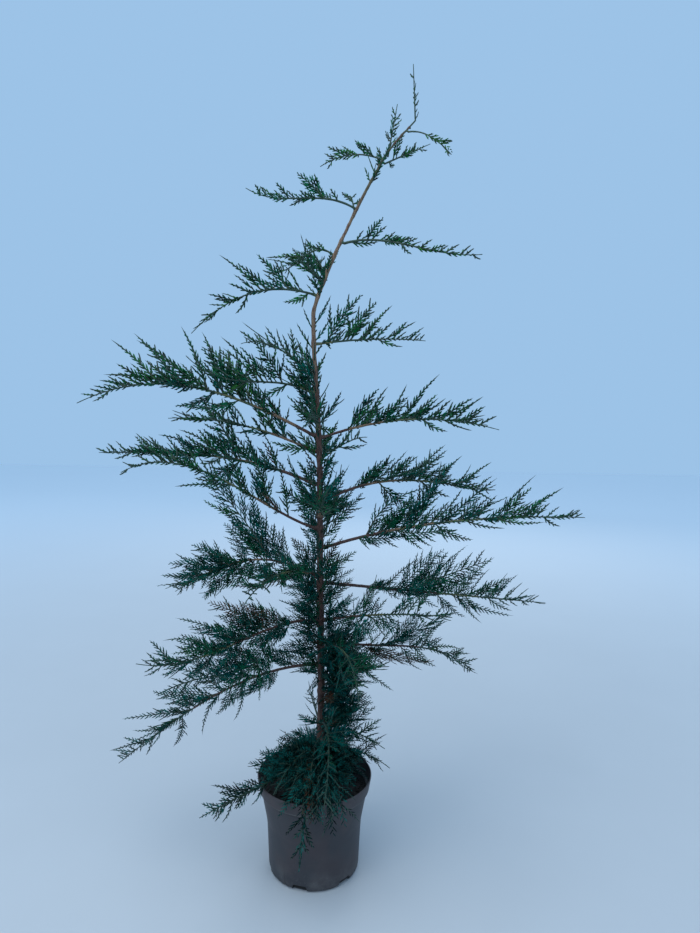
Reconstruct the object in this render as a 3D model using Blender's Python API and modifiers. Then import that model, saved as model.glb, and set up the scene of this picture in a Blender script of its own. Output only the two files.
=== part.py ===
# A young leyland cypress in its nursery pot, for Blender 4.5, in metres with +Z up.
# The origin is the middle of the pot's flat underside. The crown is widest along X.
# Trunk and main boughs are tapered limbs. Each mass of foliage is one stem with toothed
# blades fused to it, and every blade stands for a flat spray of scale-leaved twigs.

import math
import random
from collections import namedtuple
from itertools import product

import bmesh
import bpy
from mathutils import Matrix, Vector
from mathutils.kdtree import KDTree

# Pot and soil
POT_HEIGHT = 0.1755
RIM_RADIUS = 0.103
COLLAR_HEIGHT = 0.024
COLLAR_TAPER = 0.0035
COLLAR_LEDGE = 0.0033
SHOULDER_HEIGHT = 0.092
SHOULDER_RADIUS = 0.0852
FOOT_RADIUS = 0.082
FOOT_ROUNDING = 0.008
WALL = 0.0020
FLOOR = 0.0025
POT_STEPS = 28
DRAIN_SLOTS = 6
DRAIN_SLOT_SIZE = (0.016, 0.026, 0.024)
DRAIN_TURN = math.radians(15)
SOIL_BELOW_RIM = 0.026
CLEARANCE = 0.0003

# Trunk: its foot on the soil, then points that its middle line passes through, with their radii
FOOT_FLARE_RADIUS = 0.0105
TRUNK_LINE = (
    (0.008, 0.000, 0.1650, 0.0076),
    (0.010, 0.002, 0.3000, 0.0064),
    (0.006, 0.000, 0.5200, 0.0056),
    (0.002, -0.002, 0.7600, 0.0046),
    (-0.010, 0.000, 0.9600, 0.0036),
    (-0.004, 0.002, 1.0200, 0.0033),
    (0.040, 0.004, 1.1260, 0.0027),
    (0.102, 0.000, 1.2450, 0.0019),
    (0.144, -0.002, 1.2960, 0.0013),
)
TRUNK_STEPS = 2
TRUNK_ROUNDNESS = 4
LEADER_TIP = (0.147, -0.002, 1.392)
LEADER_SHOOT = 0.026

# Limbs
LIMB_SEAT = 0.004
LIMB_STEP = 0.055
LIMB_ROUNDNESS = 1
LIMB_RADIUS_AT_TIP = 0.0006
LIMB_RADIUS_LEAST = 0.0011
LIMB_RADIUS_PER_REACH = 0.0044
LIMB_TAPER = 0.9
LIMB_COLLAR = 1.2
PLAN_BOW = 0.06
SHARP_EDGE = math.radians(50)
WELD = 0.00001

# Shoots
FIRST_SHOOT = 0.014
LAST_SHOOT = 0.010
SPACING_LEAST = 0.015
SPACING_PER_LENGTH = 0.28
SHOOT_LEAST = 0.022
OPENING_ANGLE = math.radians(54)
CLOSING_ANGLE = math.radians(27)
LIFT = 0.22
UPRIGHTNESS = 1.2
RISING_TURN = (8, 105)
HANGING_TURN = (125, 165)
HANGING_EVERY = 5
HANGING_SHARE = 0.75
LENGTH_SPREAD = (0.85, 1.1)
TOOTH_SPREAD = (0.8, 1.15)
ROLL = 38
SHOOT_SIZES = (1.0, 0.85, 0.7, 0.58, 0.46)
SHOOT_LEANS = (0, 30, -30, 60, -60, 95, -95)
PAIRS_BY_LENGTH = (0.046, 0.088)
BLADE_THICKNESS = 0.018
BLADE_WIDTH = 0.32
TOOTH_SHRINK = 0.55
RIDGE_SHRINK = 0.5
TOOTH_AHEAD = 0.15
NOTCH_AHEAD = 0.065
NOTCH_WIDTH = 0.44
ROOT_SHARE = 0.6
AXIS_SAMPLE = 0.0025
SPACE_MARGIN = 0.0016
WOOD_MARGIN = 0.0022

Bough = namedtuple("Bough", "name height azimuth reach rise arch sway shoot bare")
Stem = namedtuple("Stem", "name heading points radii shoot")
Shoot = namedtuple("Shoot", "spine across teeth root")

# Height is where the bough leaves the trunk, azimuth its heading in degrees from +X towards +Y,
# reach and rise the place of its tip, arch and sway the bend between, shoot the length of its
# longest side shoots, and bare the length with no foliage, which is 0 where none shows.
BOUGHS = (
    Bough("top_1", 1.290, -25, 0.079, -0.044, 0.010, 0.000, 0.034, 0),
    Bough("top_2", 1.241, 35, 0.104, 0.051, 0.000, 0.000, 0.040, 0),
    Bough("top_3", 1.252, 60, 0.036, 0.092, 0.000, 0.000, 0.030, 0),
    Bough("top_4", 1.243, 165, 0.108, -0.006, 0.012, 0.000, 0.044, 0),
    Bough("top_5", 1.160, 95, 0.120, 0.055, 0.010, 0.000, 0.046, 0),
    Bough("left_1", 1.165, 200, 0.186, 0.012, 0.002, 0.007, 0.048, 0),
    Bough("left_2", 1.091, 150, 0.145, -0.003, -0.008, 0.015, 0.050, 0),
    Bough("left_3", 1.023, 195, 0.209, -0.071, 0.033, -0.002, 0.077, 0),
    Bough("left_4", 0.897, 150, 0.160, 0.050, 0.020, 0.000, 0.070, 0),
    Bough("left_5", 0.862, 210, 0.225, 0.055, -0.010, 0.010, 0.098, 0),
    Bough("left_6", 0.790, 188, 0.395, 0.050, 0.052, -0.005, 0.112, 0.050),
    Bough("left_7", 0.762, 168, 0.280, 0.050, 0.018, 0.000, 0.084, 0),
    Bough("left_8", 0.705, 168, 0.421, 0.040, 0.024, 0.004, 0.104, 0.045),
    Bough("left_9", 0.628, 195, 0.328, 0.103, 0.038, -0.013, 0.098, 0.050),
    Bough("left_10", 0.540, 162, 0.292, -0.058, 0.045, 0.005, 0.134, 0.045),
    Bough("left_11", 0.462, 203, 0.315, -0.035, 0.000, 0.012, 0.130, 0.035),
    Bough("left_12", 0.379, 175, 0.378, -0.212, 0.041, 0.004, 0.106, 0.030),
    Bough("left_13", 0.226, 236, 0.130, -0.030, 0.018, 0.000, 0.060, 0),
    Bough("left_14", 0.200, 215, 0.232, -0.030, -0.002, 0.000, 0.058, 0),
    Bough("right_1", 1.113, -15, 0.234, -0.025, 0.003, 0.006, 0.056, 0),
    Bough("right_2", 0.944, 20, 0.208, 0.012, 0.005, 0.000, 0.080, 0),
    Bough("right_3", 0.786, -12, 0.302, 0.021, 0.023, 0.000, 0.105, 0.032),
    Bough("right_4", 0.750, 50, 0.130, 0.030, 0.010, 0.000, 0.070, 0),
    Bough("right_5", 0.675, 22, 0.357, 0.005, 0.029, 0.008, 0.104, 0.045),
    Bough("right_6", 0.594, -8, 0.443, 0.071, 0.022, 0.001, 0.114, 0.050),
    Bough("right_7", 0.529, 12, 0.433, -0.058, 0.000, 0.000, 0.115, 0.060),
    Bough("right_8", 0.464, -38, 0.264, 0.061, 0.006, 0.000, 0.112, 0),
    Bough("right_9", 0.423, 22, 0.318, -0.103, 0.026, -0.009, 0.105, 0.035),
    Bough("right_10", 0.330, -42, 0.154, 0.090, 0.013, 0.000, 0.100, 0),
    Bough("right_11", 0.266, -36, 0.138, 0.000, 0.012, 0.000, 0.092, 0),
    Bough("right_12", 0.212, 4, 0.128, -0.032, 0.018, 0.000, 0.062, 0),
    Bough("back_1", 1.055, 100, 0.170, 0.050, 0.010, 0.000, 0.060, 0),
    Bough("back_2", 0.725, 95, 0.200, 0.050, 0.010, 0.000, 0.091, 0),
    Bough("back_3", 0.602, 78, 0.190, 0.055, 0.012, 0.000, 0.112, 0),
    Bough("back_4", 0.475, 102, 0.210, 0.035, 0.020, 0.000, 0.128, 0),
    Bough("back_5", 0.345, 75, 0.220, -0.010, 0.030, 0.000, 0.124, 0),
    Bough("back_6", 0.262, 98, 0.170, -0.030, 0.030, 0.000, 0.080, 0),
    Bough("back_7", 0.230, 55, 0.150, 0.020, 0.010, 0.000, 0.080, 0),
    Bough("front_1", 1.045, -105, 0.140, 0.010, 0.012, 0.000, 0.052, 0),
    Bough("front_2", 0.800, -95, 0.160, 0.020, 0.015, 0.000, 0.070, 0),
    Bough("front_3", 0.650, -86, 0.240, 0.040, 0.020, 0.000, 0.102, 0),
    Bough("front_4", 0.545, -112, 0.260, 0.020, 0.022, 0.000, 0.128, 0),
    Bough("front_5", 0.415, -74, 0.240, 0.000, 0.030, 0.000, 0.126, 0),
    Bough("front_6", 0.275, -86, 0.200, -0.045, 0.036, 0.000, 0.092, 0),
    Bough("front_7", 0.232, -100, 0.152, -0.135, 0.066, 0.000, 0.056, 0),
)

# Base colour and roughness of each material
POT_LOOK = ((0.135, 0.115, 0.115), 0.55)
SOIL_LOOK = ((0.020, 0.014, 0.011), 0.95)
BARK_LOOK = ((0.105, 0.055, 0.036), 0.85)
FOLIAGE_LOOK = ((0.035, 0.085, 0.040), 0.60)

UP = Vector((0, 0, 1))


def material(name, look):
    colour, roughness = look
    made = bpy.data.materials.new(name)
    made.use_nodes = True
    shader = made.node_tree.nodes["Principled BSDF"]
    shader.inputs["Base Color"].default_value = (*colour, 1)
    shader.inputs["Roughness"].default_value = roughness
    shader.inputs["Metallic"].default_value = 0
    return made


def new_collection(name):
    made = bpy.data.collections.new(name)
    bpy.context.scene.collection.children.link(made)
    return made


def new_object(name, data, place, look=None):
    made = bpy.data.objects.new(name, data)
    if look:
        data.materials.append(look)
    place.objects.link(made)
    return made


# The pot and its soil are turned shapes

def turned(name, profile, place, look):
    """A profile of (radius, height) points turned about Z, its outer side read downwards."""
    mesh = bpy.data.meshes.new(name)
    edges = [(i, i + 1) for i in range(len(profile) - 1)]
    mesh.from_pydata([(radius, 0, height) for radius, height in profile], edges, [])
    made = new_object(name, mesh, place, look)
    screw = made.modifiers.new("turn", "SCREW")
    screw.steps = POT_STEPS
    screw.render_steps = POT_STEPS
    screw.use_merge_vertices = True
    screw.merge_threshold = WELD
    screw.use_smooth_shade = True
    return made


def wall_radius(height):
    """Outer radius of the pot's wall, which is nearly upright below its shoulder and wider above."""
    wall_top = POT_HEIGHT - COLLAR_HEIGHT
    if height < SHOULDER_HEIGHT:
        share = (height - FOOT_ROUNDING) / (SHOULDER_HEIGHT - FOOT_ROUNDING)
        return FOOT_RADIUS + (SHOULDER_RADIUS - FOOT_RADIUS) * share
    share = (height - SHOULDER_HEIGHT) / (wall_top - SHOULDER_HEIGHT)
    return SHOULDER_RADIUS + (RIM_RADIUS - COLLAR_TAPER - COLLAR_LEDGE - SHOULDER_RADIUS) * share


def inner_radius(height):
    return wall_radius(height) - WALL


def pot_profile():
    wall_top = POT_HEIGHT - COLLAR_HEIGHT
    lip = WALL / 2
    inside = [
        (0, FLOOR),
        (inner_radius(FLOOR) - FOOT_ROUNDING / 2, FLOOR),
        (inner_radius(FOOT_ROUNDING), FOOT_ROUNDING),
        (inner_radius(SHOULDER_HEIGHT), SHOULDER_HEIGHT),
        (inner_radius(wall_top), wall_top),
        (RIM_RADIUS - COLLAR_TAPER - WALL, wall_top + WALL),
        (RIM_RADIUS - WALL, POT_HEIGHT - lip),
    ]
    collar = [
        (RIM_RADIUS - lip, POT_HEIGHT),
        (RIM_RADIUS, POT_HEIGHT - lip),
        (RIM_RADIUS - COLLAR_TAPER, wall_top),
        (wall_radius(wall_top - lip), wall_top - lip),
        (SHOULDER_RADIUS, SHOULDER_HEIGHT),
    ]
    foot = []
    for degrees in (0, 45, 90):
        angle = math.radians(degrees)
        radius = FOOT_RADIUS - FOOT_ROUNDING * (1 - math.cos(angle))
        foot.append((radius, FOOT_ROUNDING * (1 - math.sin(angle))))
    return inside + collar + foot + [(0, 0)]


def make_pot(place, cutters, look):
    """The pot, with drain slots cut through the corner between wall and floor."""
    pot = turned("pot", pot_profile(), place, look)
    shape = bmesh.new()
    for slot in range(DRAIN_SLOTS):
        turn = Matrix.Rotation(math.tau * slot / DRAIN_SLOTS + DRAIN_TURN, 4, "Z")
        box = Matrix.Translation((FOOT_RADIUS, 0, 0)) @ Matrix.Diagonal((*DRAIN_SLOT_SIZE, 1))
        bmesh.ops.create_cube(shape, size=1, matrix=turn @ box)
    mesh = bpy.data.meshes.new("drain_slots")
    shape.to_mesh(mesh)
    shape.free()
    slots = new_object("drain_slots", mesh, cutters)
    slots.hide_render = True
    slots.display_type = "WIRE"
    cut = pot.modifiers.new("drain", "BOOLEAN")
    cut.object = slots


def make_soil(place, look):
    """Soil that fills the pot up to a little below the rim, clear of floor and wall."""
    top = POT_HEIGHT - SOIL_BELOW_RIM
    base = FLOOR + CLEARANCE
    profile = [
        (0, top),
        (inner_radius(top) - CLEARANCE, top),
        (inner_radius(SHOULDER_HEIGHT) - CLEARANCE, SHOULDER_HEIGHT),
        (inner_radius(FOOT_ROUNDING) - CLEARANCE, FOOT_ROUNDING),
        (inner_radius(FLOOR) - FOOT_ROUNDING / 2 - CLEARANCE, base),
        (0, base),
    ]
    turned("soil", profile, place, look)


# Trunk and limbs are tapered tubes

def tube(name, points, radii, roundness, place, look):
    """A closed tube along points, as a mesh with its caps welded on."""
    curve = bpy.data.curves.new(name, "CURVE")
    curve.dimensions = "3D"
    curve.bevel_depth = max(radii)
    curve.bevel_resolution = roundness
    curve.use_fill_caps = True
    line = curve.splines.new("POLY")
    line.points.add(len(points) - 1)
    for knot, point, radius in zip(line.points, points, radii):
        knot.co = (*point, 1)
        knot.radius = radius / curve.bevel_depth
    guide = new_object(name + "_line", curve, place)
    depsgraph = bpy.context.evaluated_depsgraph_get()
    mesh = bpy.data.meshes.new_from_object(guide.evaluated_get(depsgraph))
    shape = bmesh.new()
    shape.from_mesh(mesh)
    bmesh.ops.remove_doubles(shape, verts=shape.verts, dist=WELD)
    bmesh.ops.recalc_face_normals(shape, faces=shape.faces)
    shape.to_mesh(mesh)
    shape.free()
    mesh.shade_smooth()
    mesh.set_sharp_from_angle(angle=SHARP_EDGE)
    made = new_object(name, mesh, place, look)
    made.matrix_world = guide.matrix_world
    bpy.data.objects.remove(guide)
    return made


def trunk_line():
    """Points and radii from the flat foot, through its flare, to the leader's start."""
    points, radii = smooth_line(TRUNK_LINE, TRUNK_STEPS)
    foot = Vector((points[0].x, points[0].y, POT_HEIGHT - SOIL_BELOW_RIM + CLEARANCE))
    return [foot] + points, [FOOT_FLARE_RADIUS] + radii


def smooth_line(knots, steps):
    """Points and radii on a Catmull-Rom curve through (x, y, z, radius) knots."""
    points, radii = [], []
    for i in range(len(knots) - 1):
        before = Vector(knots[max(i - 1, 0)])
        start = Vector(knots[i])
        end = Vector(knots[i + 1])
        after = Vector(knots[min(i + 2, len(knots) - 1)])
        for step in range(steps):
            t = step / steps
            knot = start * 2 + (end - before) * t
            knot += (before * 2 - start * 5 + end * 4 - after) * t ** 2
            knot += (start * 3 - before - end * 3 + after) * t ** 3
            points.append(knot.xyz / 2)
            radii.append(knot.w / 2)
    points.append(Vector(knots[-1][:3]))
    radii.append(knots[-1][3])
    return points, radii


def trunk_at(trunk, height):
    """Middle, direction and radius of the trunk at a height."""
    points, radii = trunk
    for i in range(len(points) - 1):
        if points[i].z <= height <= points[i + 1].z:
            share = (height - points[i].z) / (points[i + 1].z - points[i].z)
            middle = points[i].lerp(points[i + 1], share)
            radius = radii[i] + (radii[i + 1] - radii[i]) * share
            return middle, (points[i + 1] - points[i]).normalized(), radius
    raise ValueError("height is off the trunk")


def heading_of(bough):
    angle = math.radians(bough.azimuth)
    return Vector((math.cos(angle), math.sin(angle), 0))


def limb_radius(bough, share):
    base = LIMB_RADIUS_LEAST + LIMB_RADIUS_PER_REACH * bough.reach
    return LIMB_RADIUS_AT_TIP + (base - LIMB_RADIUS_AT_TIP) * (1 - share) ** LIMB_TAPER


def limb_line(bough, trunk, start_share, end_share):
    """Points and radii along a bough between two shares of its reach, seated on the trunk."""
    heading = heading_of(bough)
    middle, along, trunk_radius = trunk_at(trunk, bough.height)
    outward = (heading - along * heading.dot(along)).normalized()
    seat = middle + outward * (trunk_radius + CLEARANCE)
    shoulder = seat + outward * LIMB_SEAT
    reach = bough.reach - trunk_radius - LIMB_SEAT
    bow = random.Random(bough.name + " bow").uniform(-PLAN_BOW, PLAN_BOW) * reach
    beside = UP.cross(heading)

    def path(share):
        rest = 1 - share
        height = bough.rise * share + bough.arch * 4 * share * rest
        height += bough.sway * 10 * share * rest * (rest - share)
        return shoulder + heading * reach * share + UP * height + beside * bow * 4 * share * rest

    count = max(2, math.ceil(reach * (end_share - start_share) / LIMB_STEP))
    shares = [start_share + (end_share - start_share) * i / count for i in range(count + 1)]
    points = [path(share) for share in shares]
    radii = [limb_radius(bough, share) for share in shares]
    if start_share == 0:
        points.insert(0, seat)
        radii.insert(0, radii[0] * LIMB_COLLAR)
    return points, radii


def grow_limbs(trunk):
    """The bare limbs, and the stems of all the foliage masses, as points and radii."""
    limbs, stems = [], []
    for bough in BOUGHS:
        heading = heading_of(bough)
        if bough.bare:
            share = bough.bare / bough.reach
            points, radii = limb_line(bough, trunk, 0, share)
            limbs.append(Stem(bough.name, heading, points, radii, 0))
            along = (points[-1] - points[-2]).normalized()
            beyond, thinner = limb_line(bough, trunk, share, 1)
            beyond[0] = beyond[0] + along * CLEARANCE
            beyond.insert(1, beyond[0] + along * LIMB_SEAT)
            thinner.insert(1, thinner[0])
            stems.append(Stem(bough.name, heading, beyond, thinner, bough.shoot))
        else:
            points, radii = limb_line(bough, trunk, 0, 1)
            stems.append(Stem(bough.name, heading, points, radii, bough.shoot))
    stems.append(leader_stem(trunk))
    return limbs, stems


def leader_stem(trunk):
    """The leafy end of the leader, which carries on from the trunk's tip."""
    points, radii = trunk
    along = (points[-1] - points[-2]).normalized()
    start = points[-1] + along * CLEARANCE
    bend = start + along * LIMB_SEAT * 3
    tip = Vector(LEADER_TIP)
    line = [start, bend, bend.lerp(tip, 0.5), tip]
    thin = [radii[-1], radii[-1], radii[-1] * 0.75, LIMB_RADIUS_AT_TIP]
    return Stem("leader", Vector((1, 0, 0)), line, thin, LEADER_SHOOT)


# Shoots keep to the space round their own stem, clear of wood, pot and soil

def sampled(points):
    """Points every AXIS_SAMPLE or so along a line."""
    for start, end in zip(points, points[1:]):
        count = max(1, math.ceil((end - start).length / AXIS_SAMPLE))
        for i in range(count):
            yield start.lerp(end, i / count)
    yield points[-1]


def tree_of(lines):
    places = [place for line in lines for place in sampled(line)]
    tree = KDTree(len(places))
    for index, place in enumerate(places):
        tree.insert(place, index)
    tree.balance()
    return tree


def clear_of_pot(point):
    """True off the pot's wall and rim, above the soil and above the ground."""
    out = math.hypot(point.x, point.y)
    if point.z > POT_HEIGHT + WOOD_MARGIN:
        return True
    if out > RIM_RADIUS + WOOD_MARGIN:
        return point.z > WOOD_MARGIN
    in_mouth = out < inner_radius(POT_HEIGHT - SOIL_BELOW_RIM) - WOOD_MARGIN
    return in_mouth and point.z > POT_HEIGHT - SOIL_BELOW_RIM + WOOD_MARGIN


class Space:
    """The room that one mass may fill."""

    def __init__(self, stem, stems, limbs, trunk):
        self.own = tree_of([stem.points])
        self.others = tree_of([other.points for other in stems if other is not stem])
        wood = [(limb.points, max(limb.radii)) for limb in limbs]
        wood += [((start, end), radius) for start, end, radius in zip(*trunk_pieces(trunk))]
        self.wood = [(tree_of([line]), radius) for line, radius in near(wood, stem)]

    def holds(self, point):
        if not clear_of_pot(point):
            return False
        if self.own.find(point)[2] + SPACE_MARGIN > self.others.find(point)[2]:
            return False
        return all(tree.find(point)[2] > radius + WOOD_MARGIN for tree, radius in self.wood)


def trunk_pieces(trunk):
    points, radii = trunk
    return points[:-1], points[1:], radii[:-1]


def near(wood, stem):
    """The pieces of wood that a stem's shoots could reach."""
    lowest = min(point.z for point in stem.points) - stem.shoot
    highest = max(point.z for point in stem.points) + stem.shoot
    for line, radius in wood:
        heights = [point.z for point in line]
        if min(heights) < highest and max(heights) > lowest:
            yield line, radius


# Growth: shoots alternate along a stem, most of them on its upper side

def point_along(points, distance):
    """Place, direction and share of the way at a distance along a line."""
    whole = sum((b - a).length for a, b in zip(points, points[1:]))
    left = distance
    for start, end in zip(points, points[1:]):
        piece = (end - start).length
        if left <= piece:
            return start.lerp(end, left / piece), (end - start).normalized(), distance / whole
        left -= piece
    return points[-1], (points[-1] - points[-2]).normalized(), 1.0


def frame_of(ahead, heading):
    """Two directions across a stem: the upper one first."""
    reference = UP if abs(ahead.z) < 0.8 else heading
    upper = (reference - ahead * reference.dot(ahead)).normalized()
    return upper, ahead.cross(upper)


def make_shoot(root, ahead, out, length, roll, widths, thickness):
    """A shoot that opens from its stem and closes towards the stem's own direction."""
    pairs = len(widths)
    opening = ahead * math.cos(OPENING_ANGLE) + out * math.sin(OPENING_ANGLE)
    closing = ahead * math.cos(CLOSING_ANGLE) + out * math.sin(CLOSING_ANGLE) + UP * LIFT
    stations = [(i / (pairs + 1)) ** 0.9 for i in range(pairs + 2)]
    spine = [root]
    for before, after in zip(stations, stations[1:]):
        course = opening.lerp(closing.normalized(), (before + after) / 2).normalized()
        spine.append(spine[-1] + course * length * (after - before))
    sideways = opening.cross(ahead).cross(opening).normalized()
    upright = UP - opening * opening.z
    upright *= 1 if upright.dot(sideways) > 0 else -1
    across = Matrix.Rotation(roll, 3, opening) @ (sideways + upright * UPRIGHTNESS).normalized()
    teeth = [
        (BLADE_WIDTH * length * left * (1 - TOOTH_SHRINK * i / pairs),
         BLADE_WIDTH * length * right * (1 - TOOTH_SHRINK * i / pairs))
        for i, (left, right) in enumerate(widths)
    ]
    return Shoot(spine, across, teeth, thickness * ROOT_SHARE)


def blade_lines(shoot):
    """Top and under ridges and the two toothed edges of the blade on a shoot's spine."""
    spine = shoot.spine
    length = sum((b - a).length for a, b in zip(spine, spine[1:]))
    tops, unders, lefts, rights = [], [], [], []
    for i in range(len(spine) - 1):
        ahead = (spine[i + 1] - spine[i]).normalized()
        across = (shoot.across - ahead * shoot.across.dot(ahead)).normalized()
        normal = ahead.cross(across)
        if i == 0:
            half = shoot.root
            lefts.append(spine[0] + across * shoot.root)
            rights.append(spine[0] - across * shoot.root)
        else:
            half = BLADE_THICKNESS * length / 2 * (1 - RIDGE_SHRINK * i / len(spine))
            left, right = shoot.teeth[i - 1]
            tip = spine[i] + ahead * TOOTH_AHEAD * length
            notch = spine[i] + ahead * NOTCH_AHEAD * length
            lefts += [tip + across * left, notch + across * left * NOTCH_WIDTH]
            rights += [tip - across * right, notch - across * right * NOTCH_WIDTH]
        tops.append(spine[i] + normal * half)
        unders.append(spine[i] - normal * half)
    return tops, unders, lefts, rights


def blade_probes(shoot):
    """Points on a blade close enough together to test whether it fits its space."""
    tops, unders, lefts, rights = blade_lines(shoot)
    apex = shoot.spine[-1]
    probes = tops[1:] + unders[1:] + [apex]
    for line in (lefts, rights, shoot.spine):
        for start, end in zip(line, line[1:]):
            probes += [start.lerp(end, share) for share in (0.35, 0.7, 1.0)]
    probes += [lefts[-1].lerp(apex, 0.5), rights[-1].lerp(apex, 0.5)]
    return probes


def outline_of_crown(share):
    """Length of the side shoots along a stem, as a share of the longest."""
    return min(1, 0.75 + 1.5 * share) * (1 - 0.8 * share ** 1.8)


def shoots_of(stem, space):
    """The shoots of one mass, by a seeded rule, each kept only where it fits."""
    rng = random.Random(stem.name)
    whole = sum((b - a).length for a, b in zip(stem.points, stem.points[1:]))
    distance, index = FIRST_SHOOT, 0
    while distance < whole - LAST_SHOOT:
        root, ahead, share = point_along(stem.points, distance)
        upper, beside = frame_of(ahead, stem.heading)
        hangs = index % HANGING_EVERY == HANGING_EVERY - 2
        turn = math.radians(rng.uniform(*(HANGING_TURN if hangs else RISING_TURN)))
        turn *= 1 if index % 2 else -1
        out = upper * math.cos(turn) + beside * math.sin(turn)
        length = stem.shoot * outline_of_crown(share) * rng.uniform(*LENGTH_SPREAD)
        length = min(length, whole - distance)
        length = max(length, SHOOT_LEAST)
        length *= HANGING_SHARE if hangs else 1
        pairs = 1 + sum(length > step for step in PAIRS_BY_LENGTH)
        widths = [(rng.uniform(*TOOTH_SPREAD), rng.uniform(*TOOTH_SPREAD)) for _ in range(pairs)]
        roll = math.radians(rng.uniform(-ROLL, ROLL))
        thickness = stem.radii[-1] + (stem.radii[0] - stem.radii[-1]) * (1 - share)
        for size, lean in product(SHOOT_SIZES, SHOOT_LEANS):
            leaning = Matrix.Rotation(math.radians(lean), 3, ahead) @ out
            shoot = make_shoot(root, ahead, leaning, length * size, roll, widths, thickness)
            if all(space.holds(probe) for probe in blade_probes(shoot)):
                yield shoot
                break
        distance += SPACING_LEAST + SPACING_PER_LENGTH * length * size
        index += 1


# Building the masses

def blade_mesh(name, shoot):
    """A toothed blade, ridged along its spine and sharp at its edges."""
    tops, unders, lefts, rights = blade_lines(shoot)
    shape = bmesh.new()
    tops, unders, lefts, rights = [
        [shape.verts.new(place) for place in line] for line in (tops, unders, lefts, rights)
    ]
    apex = shape.verts.new(shoot.spine[-1])
    last = len(tops) - 1
    for ridge in (tops, unders):
        for edge in (lefts, rights):
            for i in range(last):
                notch, tip, next_notch = edge[2 * i:2 * i + 3]
                shape.faces.new((ridge[i], notch, tip))
                shape.faces.new((ridge[i], tip, ridge[i + 1]))
                shape.faces.new((ridge[i + 1], tip, next_notch))
            shape.faces.new((ridge[last], edge[2 * last], apex))
    shape.faces.new((tops[0], lefts[0], unders[0], rights[0]))
    bmesh.ops.recalc_face_normals(shape, faces=shape.faces)
    mesh = bpy.data.meshes.new(name)
    shape.to_mesh(mesh)
    shape.free()
    return mesh


def keep_main_body(mesh):
    """Drops loose scraps and sealed hollows, which are the smaller connected shells."""
    shape = bmesh.new()
    shape.from_mesh(mesh)
    waiting = set(shape.verts)
    shells = []
    while waiting:
        shell = [waiting.pop()]
        for vert in shell:
            for edge in vert.link_edges:
                other = edge.other_vert(vert)
                if other in waiting:
                    waiting.remove(other)
                    shell.append(other)
        shells.append(shell)
    shells.sort(key=len)
    scraps = [vert for shell in shells[:-1] for vert in shell]
    bmesh.ops.delete(shape, geom=scraps, context="VERTS")
    shape.to_mesh(mesh)
    shape.free()


def make_mass(stem, space, place, look):
    """A stem with all its blades fused on by one union."""
    mass = tube("foliage_" + stem.name, stem.points, stem.radii, 0, place, look)
    blades = new_collection("blades_of_" + stem.name)
    for index, shoot in enumerate(shoots_of(stem, space)):
        name = f"blade_{stem.name}_{index}"
        new_object(name, blade_mesh(name, shoot), blades)
    union = mass.modifiers.new("fuse", "BOOLEAN")
    union.operation = "UNION"
    union.operand_type = "COLLECTION"
    union.collection = blades
    depsgraph = bpy.context.evaluated_depsgraph_get()
    fused = bpy.data.meshes.new_from_object(mass.evaluated_get(depsgraph))
    mass.modifiers.clear()
    mass.data = fused
    for blade in list(blades.objects):
        bpy.data.objects.remove(blade)
    bpy.data.collections.remove(blades)
    keep_main_body(fused)


def main():
    for leftover in list(bpy.data.objects):
        bpy.data.objects.remove(leftover)
    place = new_collection("leyland_cypress")
    cutters = new_collection("cutters")
    bark = material("bark", BARK_LOOK)
    foliage = material("foliage", FOLIAGE_LOOK)
    make_pot(place, cutters, material("pot_plastic", POT_LOOK))
    make_soil(place, material("soil", SOIL_LOOK))
    trunk = trunk_line()
    tube("trunk", *trunk, TRUNK_ROUNDNESS, place, bark)
    limbs, stems = grow_limbs(trunk)
    for limb in limbs:
        tube("bough_" + limb.name, limb.points, limb.radii, LIMB_ROUNDNESS, place, bark)
    for stem in stems:
        make_mass(stem, Space(stem, stems, limbs, trunk), place, foliage)


main()
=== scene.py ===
# %% [markdown]
# A young leyland cypress in its nursery pot, dressed for the camera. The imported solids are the
# frame: they say where the pot stands, how the trunk leans and how far each bough reaches.
# Every piece here is made in that frame, in metres, with +Z up.

import math
import random
from collections import namedtuple
from itertools import product

import bmesh
import bpy
import numpy as np
from mathutils import Matrix, Quaternion, Vector, noise
from mathutils.kdtree import KDTree


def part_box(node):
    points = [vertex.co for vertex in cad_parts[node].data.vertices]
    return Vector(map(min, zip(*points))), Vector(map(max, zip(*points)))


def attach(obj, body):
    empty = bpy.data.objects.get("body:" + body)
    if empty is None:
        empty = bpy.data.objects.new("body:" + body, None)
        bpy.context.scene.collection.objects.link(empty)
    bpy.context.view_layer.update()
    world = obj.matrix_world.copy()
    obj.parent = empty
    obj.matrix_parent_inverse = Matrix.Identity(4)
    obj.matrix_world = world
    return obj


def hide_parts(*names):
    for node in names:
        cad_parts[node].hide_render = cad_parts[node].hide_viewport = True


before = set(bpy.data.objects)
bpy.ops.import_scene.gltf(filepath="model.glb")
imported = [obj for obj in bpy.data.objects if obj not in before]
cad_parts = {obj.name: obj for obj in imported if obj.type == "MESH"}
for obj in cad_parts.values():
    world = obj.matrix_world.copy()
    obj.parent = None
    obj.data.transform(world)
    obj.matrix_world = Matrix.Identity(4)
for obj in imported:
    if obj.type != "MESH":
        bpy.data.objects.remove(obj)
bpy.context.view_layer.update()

# %% [markdown]
# The camera stands where the photographer held it: a little above the middle of the plant's
# height, a long step away, and tipped down. A wide lens this close makes near boughs look
# larger, so the distance matters as much as the angle.

# %% Camera
PHOTO_SIZE = (700, 933)
FOCAL_LENGTH_IN_PIXELS = 700
EYE = Vector((0.0552, -1.1998, 0.877))
LOOKS_DOWN = math.radians(6.69)
ROLL_OF_CAMERA = math.radians(0.92)
SENSOR = 36

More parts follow.
